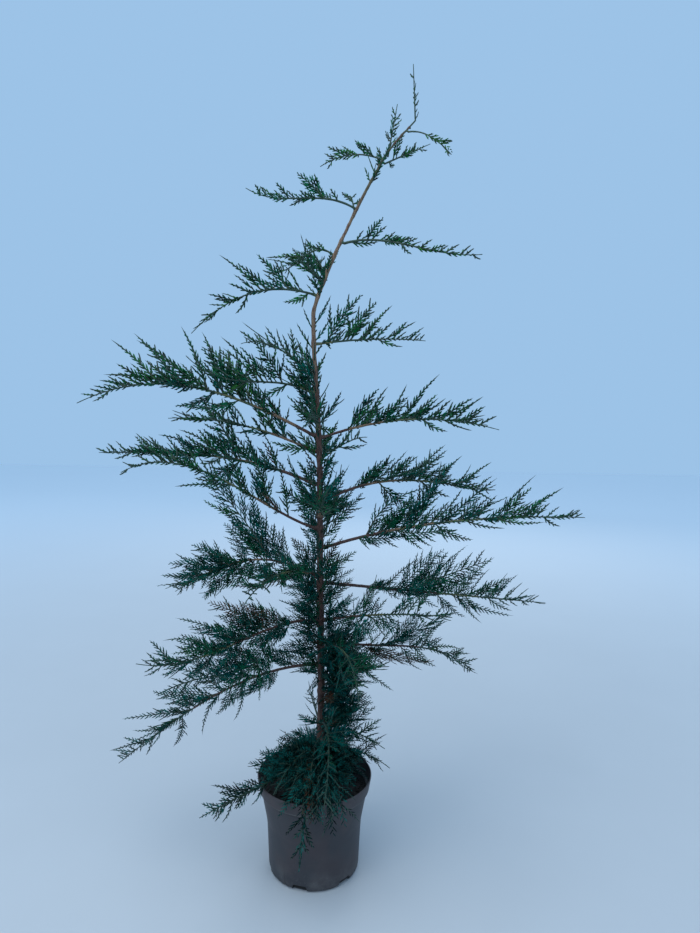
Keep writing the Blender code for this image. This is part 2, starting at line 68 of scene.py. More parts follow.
camera = bpy.data.objects.new("camera", bpy.data.cameras.new("camera"))
bpy.context.scene.collection.objects.link(camera)
camera.data.sensor_fit = "VERTICAL"
camera.data.sensor_height = SENSOR
camera.data.lens = SENSOR * FOCAL_LENGTH_IN_PIXELS / PHOTO_SIZE[1]
tip_down = Matrix.Rotation(math.radians(90) - LOOKS_DOWN, 4, "X")
camera.matrix_world = Matrix.Translation(EYE) @ tip_down @ Matrix.Rotation(ROLL_OF_CAMERA, 4, "Z")
bpy.context.scene.camera = camera
print(f"The camera's lens is {camera.data.lens:.1f} mm")

# %% [markdown]
# Thin twigs show best in broad, soft light that comes mostly from above, because a hard lamp
# would break the sprays into specks. A large lamp overhead gives each spray a light upper side,
# two wide lamps in front fill the shade, one behind lights the far edges, and the sky round the
# set is a soft, cool blue. The Standard view keeps deep greens deep, where a filmic one would
# lift and grey them.

# %% Light
SKY_COLOUR = (0.335, 0.545, 0.800)
SKY_STRENGTH = 1.0
LAMP_COLOUR = (0.90, 0.96, 1.0)
Lamp = namedtuple("Lamp", "name place aim width power")
LAMPS = (
    Lamp("overhead", (-0.5, -0.7, 3.0), (0, 0, 0.7), 2.2, 46),
    Lamp("front_left", (-2.4, -2.2, 1.8), (0, 0, 0.7), 1.8, 26),
    Lamp("front_right", (2.6, -1.6, 1.5), (0, 0, 0.6), 1.8, 12),
    Lamp("behind", (0.6, 2.8, 2.0), (0, 0, 0.7), 1.6, 16),
)


def add_lamp(lamp):
    data = bpy.data.lights.new(lamp.name, "AREA")
    data.shape = "SQUARE"
    data.size = lamp.width
    data.energy = lamp.power
    data.color = LAMP_COLOUR
    made = bpy.data.objects.new(lamp.name, data)
    made.location = lamp.place
    towards = Vector(lamp.aim) - Vector(lamp.place)
    made.rotation_euler = towards.to_track_quat("-Z", "Y").to_euler()
    bpy.context.scene.collection.objects.link(made)


for lamp in LAMPS:
    add_lamp(lamp)
world = bpy.data.worlds.new("soft_sky")
world.use_nodes = True
world.node_tree.nodes["Background"].inputs["Color"].default_value = (*SKY_COLOUR, 1)
world.node_tree.nodes["Background"].inputs["Strength"].default_value = SKY_STRENGTH
bpy.context.scene.world = world
bpy.context.scene.view_settings.view_transform = "Standard"
print("Lamps:", len(LAMPS))

# %% [markdown]
# Each finish is a small program of nodes. Wrapping a socket in a class lets its arithmetic be
# written as ordinary Python, so `1 - mask` adds the Math node that it needs. All other nodes
# come from one method, which takes the node's type, its settings and its inputs.

# %% Shader values that can be reckoned with
class Value:
    """One output socket of a shader node, usable in sums."""

    def __init__(self, finish, socket):
        self.finish = finish
        self.socket = socket

    def reckon(self, operation, *terms):
        return self.finish.node("ShaderNodeMath", {"operation": operation}, dict(enumerate(terms)))

    def __add__(self, other):
        return self.reckon("ADD", self, other)

    def __rsub__(self, other):
        return self.reckon("SUBTRACT", other, self)

    def __mul__(self, other):
        return self.reckon("MULTIPLY", self, other)

    def between(self, low, high):
        """0 below low and 1 above high, with a soft rise between."""
        limits = {"From Min": low, "From Max": high, "Value": self}
        return self.finish.node("ShaderNodeMapRange", {"interpolation_type": "SMOOTHSTEP"}, limits)


class Finish:
    """A material with a Principled shader, and the means to add nodes to it."""

    def __init__(self, name, colour, roughness):
        self.material = bpy.data.materials.new(name)
        self.material.use_nodes = True
        self.tree = self.material.node_tree
        self.shader = self.tree.nodes["Principled BSDF"]
        self.shader.inputs["Base Color"].default_value = (*colour, 1)
        self.shader.inputs["Roughness"].default_value = roughness

    def put(self, socket, value):
        if isinstance(value, Value):
            self.tree.links.new(value.socket, socket)
        elif isinstance(value, tuple) and len(value) == 3 and socket.type == "RGBA":
            socket.default_value = (*value, 1)
        else:
            socket.default_value = value

    def node(self, kind, settings=None, inputs=None, output=0):
        made = self.tree.nodes.new(kind)
        for name, setting in (settings or {}).items():
            setattr(made, name, setting)
        for key, value in (inputs or {}).items():
            self.put(made.inputs[key], value)
        return Value(self, made.outputs[output])

    def place(self, stretch=(1, 1, 1)):
        """Object coordinates, stretched along the axes."""
        plain = self.node("ShaderNodeTexCoord", output="Object")
        return self.node("ShaderNodeMapping", {}, {"Vector": plain, "Scale": stretch})

    def height(self):
        plain = self.node("ShaderNodeTexCoord", output="Object")
        return self.node("ShaderNodeSeparateXYZ", {}, {0: plain}, "Z")

    def grain(self, size, detail=3, stretch=(1, 1, 1), rough=0.5):
        """Noise from 0 to 1 with features of about this size in metres."""
        inputs = {"Vector": self.place(stretch), "Scale": 1 / size, "Detail": detail,
                  "Roughness": rough}
        return self.node("ShaderNodeTexNoise", {}, inputs)

    def mix(self, mask, base, top):
        inputs = {0: mask, 6: base, 7: top}
        return self.node("ShaderNodeMix", {"data_type": "RGBA"}, inputs, 2)

    def finish_with(self, colour=None, roughness=None, bump=None, bump_height=0.0002):
        if colour is not None:
            self.put(self.shader.inputs["Base Color"], colour)
        if roughness is not None:
            self.put(self.shader.inputs["Roughness"], roughness)
        if bump is not None:
            inputs = {"Strength": 1.0, "Distance": bump_height, "Height": bump}
            self.put(self.shader.inputs["Normal"], self.node("ShaderNodeBump", {}, inputs))
        return self.material


def shade(colour, factor):
    return tuple(channel * factor for channel in colour)


print("Half a mid grey:", shade((0.5, 0.5, 0.5), 0.5))

# %% [markdown]
# The floor is one wide sheet with a faint mottle. It is painted darker near the pot, where the
# lamps light it most, and paler further out, where they light it less, so the far floor fades
# into the sky. Nothing on it draws the eye from the plant.

# %% Floor
FLOOR_SIZE = 12
FLOOR_COLOUR = (0.50, 0.52, 0.54)
# Painted light: the far floor is paler to make up for lamp light that falls off away from the pot.
FAR_FLOOR_COLOUR = (0.90, 0.93, 0.96)
FLOOR_ROUGHNESS = 0.85
FLOOR_MOTTLE_SIZE = 0.25
FLOOR_MOTTLE_SHADE = 0.94
PALER_BETWEEN = (0.5, 4.5)


def new_piece(name, shape):
    """A bmesh becomes an object at the origin, and the bmesh is freed."""
    mesh = bpy.data.meshes.new(name)
    shape.to_mesh(mesh)
    shape.free()
    made = bpy.data.objects.new(name, mesh)
    bpy.context.scene.collection.objects.link(made)
    return made


def make_floor():
    shape = bmesh.new()
    bmesh.ops.create_grid(shape, x_segments=1, y_segments=1, size=FLOOR_SIZE / 2)
    made = new_piece("floor", shape)
    finish = Finish("floor_finish", FLOOR_COLOUR, FLOOR_ROUGHNESS)
    darker = shade(FLOOR_COLOUR, FLOOR_MOTTLE_SHADE)
    mottle = finish.mix(finish.grain(FLOOR_MOTTLE_SIZE), FLOOR_COLOUR, darker)
    out = finish.node("ShaderNodeVectorMath", {"operation": "LENGTH"}, {0: finish.place()}, 1)
    # Painted light: paler with distance from the pot, where the lamps light the floor less.
    colour = finish.mix(out.between(*PALER_BETWEEN), mottle, FAR_FLOOR_COLOUR)
    made.data.materials.append(finish.finish_with(colour=colour))
    print("Floor:", FLOOR_SIZE, "m wide")


make_floor()

# %% [markdown]
# A nursery pot is moulded thin from recycled plastic: a nearly upright lower wall, a shoulder
# above which it widens, a stepped collar round its rim, and a soft corner at its foot.

# %% Sizes of the pot, as in the part
POT_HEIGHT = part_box("pot")[1].z
RIM_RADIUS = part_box("pot")[1].x
COLLAR_HEIGHT = 0.024
COLLAR_TAPER = 0.0035
COLLAR_LEDGE = 0.0033
SHOULDER_HEIGHT = 0.092
SHOULDER_RADIUS = 0.0852
SHOULDER_EASE = 0.012
FOOT_RADIUS = 0.082
FOOT_ROUNDING = 0.008
WALL = 0.0020
FLOOR = 0.0025
SOIL_BELOW_RIM = 0.026


def wall_radius(height):
    """Outer radius of the pot's wall, nearly upright below its shoulder and wider above."""
    wall_top = POT_HEIGHT - COLLAR_HEIGHT
    if height < SHOULDER_HEIGHT:
        share = (height - FOOT_ROUNDING) / (SHOULDER_HEIGHT - FOOT_ROUNDING)
        return FOOT_RADIUS + (SHOULDER_RADIUS - FOOT_RADIUS) * share
    share = (height - SHOULDER_HEIGHT) / (wall_top - SHOULDER_HEIGHT)
    return SHOULDER_RADIUS + (RIM_RADIUS - COLLAR_TAPER - COLLAR_LEDGE - SHOULDER_RADIUS) * share


def eased_wall(height):
    """The wall's radius with a soft bend at the shoulder, as moulding leaves it."""
    ends = wall_radius(height - SHOULDER_EASE) + wall_radius(height + SHOULDER_EASE)
    return wall_radius(height) / 2 + ends / 4


print(f"The pot is {POT_HEIGHT * 1000:.0f} mm high and {RIM_RADIUS * 2000:.0f} mm across")

# %% [markdown]
# The section is drawn once, from the middle of the floor inside, over the rim and down to the
# middle below. Then it is spun about the axis.

# %% Section of the pot
POT_STEPS = 112
SAME_POINT = 0.00002
INNER_HEIGHTS = (0.086, 0.092, 0.098, 0.13)
OUTER_HEIGHTS = (0.13, 0.11, 0.098, 0.092, 0.086, 0.07)
LOWEST_INNER_HEIGHTS = (FOOT_ROUNDING, 0.05)
LOWEST_OUTER_HEIGHT = 0.03


def arc(middle, radius, start, end, steps):
    """Points on an arc in the plane of the section, between two angles in degrees."""
    angles = [math.radians(start + (end - start) * i / steps) for i in range(steps + 1)]
    return [(middle[0] + radius * math.cos(a), middle[1] + radius * math.sin(a)) for a in angles]


def pot_section():
    """Radius and height of each point of the section, in order."""
    wall_top = POT_HEIGHT - COLLAR_HEIGHT
    lip = WALL / 2
    inside = [(0, FLOOR), (wall_radius(FLOOR) - WALL - FOOT_ROUNDING / 2, FLOOR)]
    inside += [(wall_radius(height) - WALL, height) for height in LOWEST_INNER_HEIGHTS]
    inside += [(eased_wall(height) - WALL, height) for height in INNER_HEIGHTS]
    inside += [(wall_radius(wall_top) - WALL, wall_top)]
    inside += [(RIM_RADIUS - COLLAR_TAPER - WALL, wall_top + WALL)]
    rim = arc((RIM_RADIUS - lip, POT_HEIGHT - lip), lip, 180, 0, 8)
    collar = [(RIM_RADIUS - COLLAR_TAPER / 2, POT_HEIGHT - COLLAR_HEIGHT / 2)]
    collar += arc((RIM_RADIUS - COLLAR_TAPER - lip, wall_top + lip), lip, 0, -90, 5)
    outside = [(wall_radius(height), height) for height in (wall_top, wall_top - lip)]
    outside += [(eased_wall(height), height) for height in OUTER_HEIGHTS]
    outside += [(wall_radius(LOWEST_OUTER_HEIGHT), LOWEST_OUTER_HEIGHT)]
    foot = arc((FOOT_RADIUS - FOOT_ROUNDING, FOOT_ROUNDING), FOOT_ROUNDING, 0, -90, 6)
    return inside + rim + collar + outside + foot + [(0, 0)]


def spun(section, steps):
    """A closed turned shape: the section is a wire that spin carries once round the axis."""
    shape = bmesh.new()
    points = [shape.verts.new((radius, 0, height)) for radius, height in section]
    wire = [shape.edges.new(pair) for pair in zip(points, points[1:])]
    bmesh.ops.spin(shape, geom=points + wire, axis=(0, 0, 1), cent=(0, 0, 0),
                   angle=math.tau, steps=steps, use_merge=True)
    bmesh.ops.remove_doubles(shape, verts=shape.verts, dist=SAME_POINT)
    bmesh.ops.recalc_face_normals(shape, faces=shape.faces)
    return shape


print("Points in the pot's section:", len(pot_section()))

# %% [markdown]
# Slots at the foot let the water drain. They are cut after the spin, so that the wall stays
# round, by six boxes with their upper corners rounded.

# %% Drain slots
DRAIN_SLOTS = 6
DRAIN_SLOT_SIZE = (0.016, 0.026, 0.024)
DRAIN_SLOT_CORNER = 0.0045
DRAIN_TURN = math.radians(15)


def runs_inward(edge):
    """True for an edge that crosses the pot's wall."""
    start, end = (vert.co.xy.length for vert in edge.verts)
    return abs(start - end) > DRAIN_SLOT_SIZE[0] / 2


def cut_slots(pot):
    """Rounded drain slots through the corner of wall and floor."""
    shape = bmesh.new()
    for slot in range(DRAIN_SLOTS):
        turn = Matrix.Rotation(math.tau * slot / DRAIN_SLOTS + DRAIN_TURN, 4, "Z")
        place = Matrix.Translation((FOOT_RADIUS, 0, 0)) @ Matrix.Diagonal((*DRAIN_SLOT_SIZE, 1))
        bmesh.ops.create_cube(shape, size=1, matrix=turn @ place)
    upper = [edge for edge in shape.edges if min(vert.co.z for vert in edge.verts) > 0]
    inward = [edge for edge in upper if runs_inward(edge)]
    bmesh.ops.bevel(shape, geom=inward, offset=DRAIN_SLOT_CORNER, offset_type="OFFSET",
                    segments=5, profile=0.5, affect="EDGES", material=-1)
    cutter = new_piece("drain_slots", shape)
    cut = pot.modifiers.new("drain", "BOOLEAN")
    cut.object = cutter
    depsgraph = bpy.context.evaluated_depsgraph_get()
    pot.data = bpy.data.meshes.new_from_object(pot.evaluated_get(depsgraph))
    pot.modifiers.clear()
    bpy.data.objects.remove(cutter)


print("Drain slots:", DRAIN_SLOTS)

# %% [markdown]
# The plastic is a dull taupe. Watering has splashed fine dust and dried soil on it, thickest
# near the foot, with a few dark runs. Noise that is stretched upright gives the runs, and the
# height blends them in where splashes reach. The collar's lower edge is rubbed pale and also
# painted lighter as a highlight, with a painted dark line of shade under it, and height places
# both.

# %% Finish and making of the pot
POT_COLOUR = (0.041, 0.040, 0.045)
POT_MAUVE = (0.060, 0.046, 0.048)
# Dust, and also the colour of the painted highlight on the collar's lower edge.
POT_DUST_AND_HIGHLIGHT = (0.120, 0.118, 0.116)
# Dark runs, and also the colour of the painted shadow under the collar.
POT_RUN_AND_SHADOW = (0.022, 0.014, 0.014)
POT_SHINE = 0.25
POT_ROUGHNESS = 0.52
POT_CREASE = math.radians(35)
LEDGE_HEIGHT = POT_HEIGHT - COLLAR_HEIGHT
SPLASH_HEIGHT = 0.050
RUNS_BETWEEN = (0.03, 0.15)


def pot_finish():
    finish = Finish("pot_plastic", POT_COLOUR, POT_ROUGHNESS)
    finish.shader.inputs["Specular IOR Level"].default_value = POT_SHINE
    height = finish.height()
    splash = 1 - height.between(0.0, SPLASH_HEIGHT)
    collar = height.between(LEDGE_HEIGHT - 0.0004, LEDGE_HEIGHT + 0.0004)
    # Painted highlight, partly wear: a narrow band just above the collar's ledge is made paler.
    worn_and_highlit_edge = collar * (1 - height.between(LEDGE_HEIGHT + 0.0014, LEDGE_HEIGHT + 0.0030))
    # Painted shadow: a dark band just under the collar's ledge, where its overhang shades the wall.
    shadow = height.between(LEDGE_HEIGHT - 0.0060, LEDGE_HEIGHT - 0.0010) * (1 - collar)
    speckle = finish.grain(0.0035, 5, rough=0.65).between(0.52, 0.74)
    cloud = finish.grain(0.035, 4).between(0.42, 0.70)
    patches = finish.grain(0.055, 3).between(0.40, 0.62)
    plastic = finish.mix(patches * 0.6 + collar * 0.4, POT_COLOUR, POT_MAUVE)
    dust_and_edge_highlight = (speckle * 0.45 + cloud * 0.55) * (splash * 1.15 + collar * 0.20 + 0.10)
    # The pale edge above the ledge joins the dust: painted highlight as well as wear.
    dust_and_edge_highlight = dust_and_edge_highlight + worn_and_highlit_edge * (cloud * 0.4 + 0.40)
    runs = finish.grain(0.010, 2, stretch=(1, 1, 0.08)).between(0.66, 0.76)
    streak = runs * (1 - height.between(*RUNS_BETWEEN)) * 0.55
    dusty_and_highlit = finish.mix(dust_and_edge_highlight, plastic, POT_DUST_AND_HIGHLIGHT)
    # The runs and the painted shadow under the collar both darken towards one colour.
    colour = finish.mix(streak + shadow * 0.60, dusty_and_highlit, POT_RUN_AND_SHADOW)
    fine = finish.grain(0.0012, 3)
    dents = finish.grain(0.03, 2)
    return finish.finish_with(
        colour=colour,
        roughness=dust_and_edge_highlight * 0.3 + 0.48,
        bump=fine * 0.25 + dents,
        bump_height=0.0005,
    )


def make_pot():
    pot = new_piece("pot_shell", spun(pot_section(), POT_STEPS))
    cut_slots(pot)
    pot.data.shade_smooth()
    pot.data.set_sharp_from_angle(angle=POT_CREASE)
    pot.data.materials.append(pot_finish())
    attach(pot, "root")
    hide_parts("pot")
    print("Pot faces:", len(pot.data.polygons))


make_pot()

# %% [markdown]
# Potting compost is a dark crumb of peat and bark. A disc with gentle mounds carries the
# colour, and a few hundred loose crumbs and chips lie half sunk in it, which is what makes it
# read as soil from above. Around the trunk it is heaped a little.

# %% Soil
SOIL_TOP = POT_HEIGHT - SOIL_BELOW_RIM
SOIL_COLOUR = (0.0035, 0.0026, 0.0024)
SOIL_LIGHT = (0.014, 0.010, 0.008)
SOIL_GAP = 0.0003
SOIL_MOUND = 0.004
SOIL_MOUND_RADIUS = 0.03
SOIL_LUMPS_PER_METRE = 45
SOIL_LUMP_HEIGHT = 0.0022
SOIL_NOISE = (0.8, 2.1, 5)
SOIL_RINGS = 40
SOIL_STEPS = 120
CRUMBS = 620
CRUMB_SIZE = (0.0012, 0.0042)
CRUMB_SPREAD = (0.5, 1)
CRUMB_FLATNESS = (0.4, 0.9)
CRUMB_RISE = 0.15


def soil_height(x, y):
    """Height of the soil's surface, mounded near the trunk and rough all over."""
    out = math.hypot(x, y)
    heap = SOIL_MOUND * math.exp(-(out / SOIL_MOUND_RADIUS) ** 2)
    lumps = noise.fractal(Vector((x, y, 0)) * SOIL_LUMPS_PER_METRE, *SOIL_NOISE)
    return SOIL_TOP + heap + lumps * SOIL_LUMP_HEIGHT


def soil_shape():
    edge = wall_radius(SOIL_TOP) - WALL - SOIL_GAP
    base = FLOOR + SOIL_GAP
    section = [(edge * i / SOIL_RINGS, SOIL_TOP) for i in range(SOIL_RINGS + 1)]
    for height in (SHOULDER_HEIGHT, FOOT_ROUNDING):
        section.append((wall_radius(height) - WALL - SOIL_GAP, height))
    section += [(wall_radius(FLOOR) - WALL - FOOT_ROUNDING / 2 - SOIL_GAP, base), (0, base)]
    shape = spun(section, SOIL_STEPS)
    for vert in shape.verts:
        if vert.co.z > SOIL_TOP - 0.001:
            vert.co.z = soil_height(vert.co.x, vert.co.y)
    return shape


def add_crumbs(shape):
    rng = random.Random("crumbs")
    edge = wall_radius(SOIL_TOP) - WALL - CRUMB_SIZE[1]
    for _ in range(CRUMBS):
        size = rng.uniform(*CRUMB_SIZE) * rng.uniform(*CRUMB_SPREAD)
        out = edge * math.sqrt(rng.random())
        around = rng.uniform(0, math.tau)
        x, y = out * math.cos(around), out * math.sin(around)
        turn = Matrix.Rotation(rng.uniform(0, math.tau), 4, Vector((rng.random(), 1, rng.random())))
        flat = [size * rng.uniform(*CRUMB_FLATNESS) for _ in range(2)]
        squash = Matrix.Diagonal((size, *flat, 1))
        place = Matrix.Translation((x, y, soil_height(x, y) + size * CRUMB_RISE))
        bmesh.ops.create_icosphere(shape, subdivisions=1, radius=1, matrix=place @ turn @ squash)


def soil_finish():
    finish = Finish("soil", SOIL_COLOUR, 0.95)
    lumps = finish.grain(0.006, 6, rough=0.7)
    colour = finish.mix(lumps.between(0.5, 0.8), SOIL_COLOUR, SOIL_LIGHT)
    return finish.finish_with(colour=colour, bump=lumps, bump_height=0.002)


def make_soil():
    shape = soil_shape()
    add_crumbs(shape)
    soil = new_piece("soil_bed", shape)
    soil.data.materials.append(soil_finish())
    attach(soil, "root")
    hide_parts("soil")
    print("Soil faces:", len(soil.data.polygons))


make_soil()

# %% [markdown]
# The plant grows here by the same rule as its solids: the trunk's middle line, then one row
# for each bough with its height on the trunk, its heading, how far it reaches and rises, and
# how it bends. Everything finer follows from these rows.

# %% Trunk and boughs, as in the part
CLEARANCE = 0.0003
FOOT_FLARE_RADIUS = 0.0105
TRUNK_LINE = (
    (0.008, 0.000, 0.1650, 0.0076),
    (0.010, 0.002, 0.3000, 0.0064),
    (0.006, 0.000, 0.5200, 0.0056),
    (0.002, -0.002, 0.7600, 0.0046),
    (-0.010, 0.000, 0.9600, 0.0036),
    (-0.004, 0.002, 1.0200, 0.0033),
    (0.040, 0.004, 1.1260, 0.0027),
    (0.102, 0.000, 1.2450, 0.0019),
    (0.144, -0.002, 1.2960, 0.0013),
)
TRUNK_STEPS = 2
LEADER_TIP = (0.147, -0.002, 1.392)
LEADER_SHOOT = 0.026
LIMB_SEAT = 0.004
LIMB_STEP = 0.055
LIMB_RADIUS_AT_TIP = 0.0006
LIMB_RADIUS_LEAST = 0.0011
LIMB_RADIUS_PER_REACH = 0.0044
LIMB_TAPER = 0.9
LIMB_COLLAR = 1.2
PLAN_BOW = 0.06
UP = Vector((0, 0, 1))

Bough = namedtuple("Bough", "name height azimuth reach rise arch sway shoot bare")
Stem = namedtuple("Stem", "name heading points radii shoot")
BOUGHS = (
    Bough("top_1", 1.290, -25, 0.079, -0.044, 0.010, 0.000, 0.034, 0),
    Bough("top_2", 1.241, 35, 0.104, 0.051, 0.000, 0.000, 0.040, 0),
    Bough("top_3", 1.252, 60, 0.036, 0.092, 0.000, 0.000, 0.030, 0),
    Bough("top_4", 1.243, 165, 0.108, -0.006, 0.012, 0.000, 0.044, 0),
    Bough("top_5", 1.160, 95, 0.120, 0.055, 0.010, 0.000, 0.046, 0),
    Bough("left_1", 1.165, 200, 0.186, 0.012, 0.002, 0.007, 0.048, 0),
    Bough("left_2", 1.091, 150, 0.145, -0.003, -0.008, 0.015, 0.050, 0),
    Bough("left_3", 1.023, 195, 0.209, -0.071, 0.033, -0.002, 0.077, 0),
    Bough("left_4", 0.897, 150, 0.160, 0.050, 0.020, 0.000, 0.070, 0),
    Bough("left_5", 0.862, 210, 0.225, 0.055, -0.010, 0.010, 0.098, 0),
    Bough("left_6", 0.790, 188, 0.395, 0.050, 0.052, -0.005, 0.112, 0.050),
    Bough("left_7", 0.762, 168, 0.280, 0.050, 0.018, 0.000, 0.084, 0),
    Bough("left_8", 0.705, 168, 0.421, 0.040, 0.024, 0.004, 0.104, 0.045),
    Bough("left_9", 0.628, 195, 0.328, 0.103, 0.038, -0.013, 0.098, 0.050),
    Bough("left_10", 0.540, 162, 0.292, -0.058, 0.045, 0.005, 0.134, 0.045),
    Bough("left_11", 0.462, 203, 0.315, -0.035, 0.000, 0.012, 0.130, 0.035),
    Bough("left_12", 0.379, 175, 0.378, -0.212, 0.041, 0.004, 0.106, 0.030),
    Bough("left_13", 0.226, 236, 0.130, -0.030, 0.018, 0.000, 0.060, 0),
    Bough("left_14", 0.200, 215, 0.232, -0.030, -0.002, 0.000, 0.058, 0),
    Bough("right_1", 1.113, -15, 0.234, -0.025, 0.003, 0.006, 0.056, 0),
    Bough("right_2", 0.944, 20, 0.208, 0.012, 0.005, 0.000, 0.080, 0),
    Bough("right_3", 0.786, -12, 0.302, 0.021, 0.023, 0.000, 0.105, 0.032),
    Bough("right_4", 0.750, 50, 0.130, 0.030, 0.010, 0.000, 0.070, 0),
    Bough("right_5", 0.675, 22, 0.357, 0.005, 0.029, 0.008, 0.104, 0.045),
    Bough("right_6", 0.594, -8, 0.443, 0.071, 0.022, 0.001, 0.114, 0.050),
    Bough("right_7", 0.529, 12, 0.433, -0.058, 0.000, 0.000, 0.115, 0.060),
    Bough("right_8", 0.464, -38, 0.264, 0.061, 0.006, 0.000, 0.112, 0),
    Bough("right_9", 0.423, 22, 0.318, -0.103, 0.026, -0.009, 0.105, 0.035),
    Bough("right_10", 0.330, -42, 0.154, 0.090, 0.013, 0.000, 0.100, 0),
    Bough("right_11", 0.266, -36, 0.138, 0.000, 0.012, 0.000, 0.092, 0),
    Bough("right_12", 0.212, 4, 0.128, -0.032, 0.018, 0.000, 0.062, 0),
    Bough("back_1", 1.055, 100, 0.170, 0.050, 0.010, 0.000, 0.060, 0),
    Bough("back_2", 0.725, 95, 0.200, 0.050, 0.010, 0.000, 0.091, 0),
    Bough("back_3", 0.602, 78, 0.190, 0.055, 0.012, 0.000, 0.112, 0),
    Bough("back_4", 0.475, 102, 0.210, 0.035, 0.020, 0.000, 0.128, 0),
    Bough("back_5", 0.345, 75, 0.220, -0.010, 0.030, 0.000, 0.124, 0),
    Bough("back_6", 0.262, 98, 0.170, -0.030, 0.030, 0.000, 0.080, 0),
    Bough("back_7", 0.230, 55, 0.150, 0.020, 0.010, 0.000, 0.080, 0),
    Bough("front_1", 1.045, -105, 0.140, 0.010, 0.012, 0.000, 0.052, 0),
    Bough("front_2", 0.800, -95, 0.160, 0.020, 0.015, 0.000, 0.070, 0),
    Bough("front_3", 0.650, -86, 0.240, 0.040, 0.020, 0.000, 0.102, 0),
    Bough("front_4", 0.545, -112, 0.260, 0.020, 0.022, 0.000, 0.128, 0),
    Bough("front_5", 0.415, -74, 0.240, 0.000, 0.030, 0.000, 0.126, 0),
    Bough("front_6", 0.275, -86, 0.200, -0.045, 0.036, 0.000, 0.092, 0),
    Bough("front_7", 0.232, -100, 0.152, -0.135, 0.066, 0.000, 0.056, 0),
)
print("Boughs:", len(BOUGHS), "knots of the trunk:", len(TRUNK_LINE))

# %% [markdown]
# The trunk's middle line is a smooth curve through its knots, and its radius follows the same
# curve. Below the lowest knot it widens to a foot on the compost.

# %% Line of the trunk
def smooth_line(knots, steps):
    """Points and radii on a Catmull-Rom curve through (x, y, z, radius) knots."""
    points, radii = [], []
    for i in range(len(knots) - 1):
        before = Vector(knots[max(i - 1, 0)])
        start = Vector(knots[i])
        end = Vector(knots[i + 1])
        after = Vector(knots[min(i + 2, len(knots) - 1)])
        for step in range(steps):
            t = step / steps
            knot = start * 2 + (end - before) * t
            knot += (before * 2 - start * 5 + end * 4 - after) * t ** 2
            knot += (start * 3 - before - end * 3 + after) * t ** 3
            points.append(knot.xyz / 2)
            radii.append(knot.w / 2)
    points.append(Vector(knots[-1][:3]))
    radii.append(knots[-1][3])
    return points, radii


def trunk_line(steps):
    points, radii = smooth_line(TRUNK_LINE, steps)
    foot = Vector((points[0].x, points[0].y, SOIL_TOP + CLEARANCE))
    return [foot] + points, [FOOT_FLARE_RADIUS] + radii


def trunk_at(trunk, height):
    """Middle, direction and radius of the trunk at a height."""
    points, radii = trunk
    for i in range(len(points) - 1):
        if points[i].z <= height <= points[i + 1].z:
            share = (height - points[i].z) / (points[i + 1].z - points[i].z)
            middle = points[i].lerp(points[i + 1], share)
            radius = radii[i] + (radii[i + 1] - radii[i]) * share
            return middle, (points[i + 1] - points[i]).normalized(), radius
    raise ValueError("height is off the trunk")


trunk = trunk_line(TRUNK_STEPS)
print("Points on the trunk's line:", len(trunk[0]))

# %% [markdown]
# A line is worked out from each bough's row. It leaves the trunk square to it, then follows its
# rise, its arch and its sway, which are three plain curves added together, and tapers to its
# tip. Where the row says how long its bare part is, the limb ends there and its leafy stem goes
# on.

# %% Lines of the boughs
def heading_of(bough):
    angle = math.radians(bough.azimuth)
    return Vector((math.cos(angle), math.sin(angle), 0))


def limb_radius(bough, share):
    base = LIMB_RADIUS_LEAST + LIMB_RADIUS_PER_REACH * bough.reach
    return LIMB_RADIUS_AT_TIP + (base - LIMB_RADIUS_AT_TIP) * (1 - share) ** LIMB_TAPER


def limb_line(bough, trunk, start_share, end_share, step=LIMB_STEP):
    """Points and radii along a bough between two shares of its reach, seated on the trunk."""
    heading = heading_of(bough)
    middle, along, trunk_radius = trunk_at(trunk, bough.height)
    outward = (heading - along * heading.dot(along)).normalized()
    seat = middle + outward * (trunk_radius + CLEARANCE)
    shoulder = seat + outward * LIMB_SEAT
    reach = bough.reach - trunk_radius - LIMB_SEAT
    bow = random.Random(bough.name + " bow").uniform(-PLAN_BOW, PLAN_BOW) * reach
    beside = UP.cross(heading)

    def path(share):
        rest = 1 - share
        height = bough.rise * share + bough.arch * 4 * share * rest
        height += bough.sway * 10 * share * rest * (rest - share)
        return shoulder + heading * reach * share + UP * height + beside * bow * 4 * share * rest

    count = max(2, math.ceil(reach * (end_share - start_share) / step))
    shares = [start_share + (end_share - start_share) * i / count for i in range(count + 1)]
    points = [path(share) for share in shares]
    radii = [limb_radius(bough, share) for share in shares]
    if start_share == 0:
        points.insert(0, seat)
        radii.insert(0, radii[0] * LIMB_COLLAR)
    return points, radii


def grow_limbs(trunk):
    """The bare limbs, and the stems of all the foliage masses, as points and radii."""
    limbs, stems = [], []
    for bough in BOUGHS:
        heading = heading_of(bough)
        if bough.bare:
            share = bough.bare / bough.reach
            points, radii = limb_line(bough, trunk, 0, share)
            limbs.append(Stem(bough.name, heading, points, radii, 0))
            along = (points[-1] - points[-2]).normalized()
            beyond, thinner = limb_line(bough, trunk, share, 1)
            beyond[0] = beyond[0] + along * CLEARANCE
            beyond.insert(1, beyond[0] + along * LIMB_SEAT)
            thinner.insert(1, thinner[0])
            stems.append(Stem(bough.name, heading, beyond, thinner, bough.shoot))
        else:
            points, radii = limb_line(bough, trunk, 0, 1)
            stems.append(Stem(bough.name, heading, points, radii, bough.shoot))
    stems.append(leader_stem(trunk))
    return limbs, stems


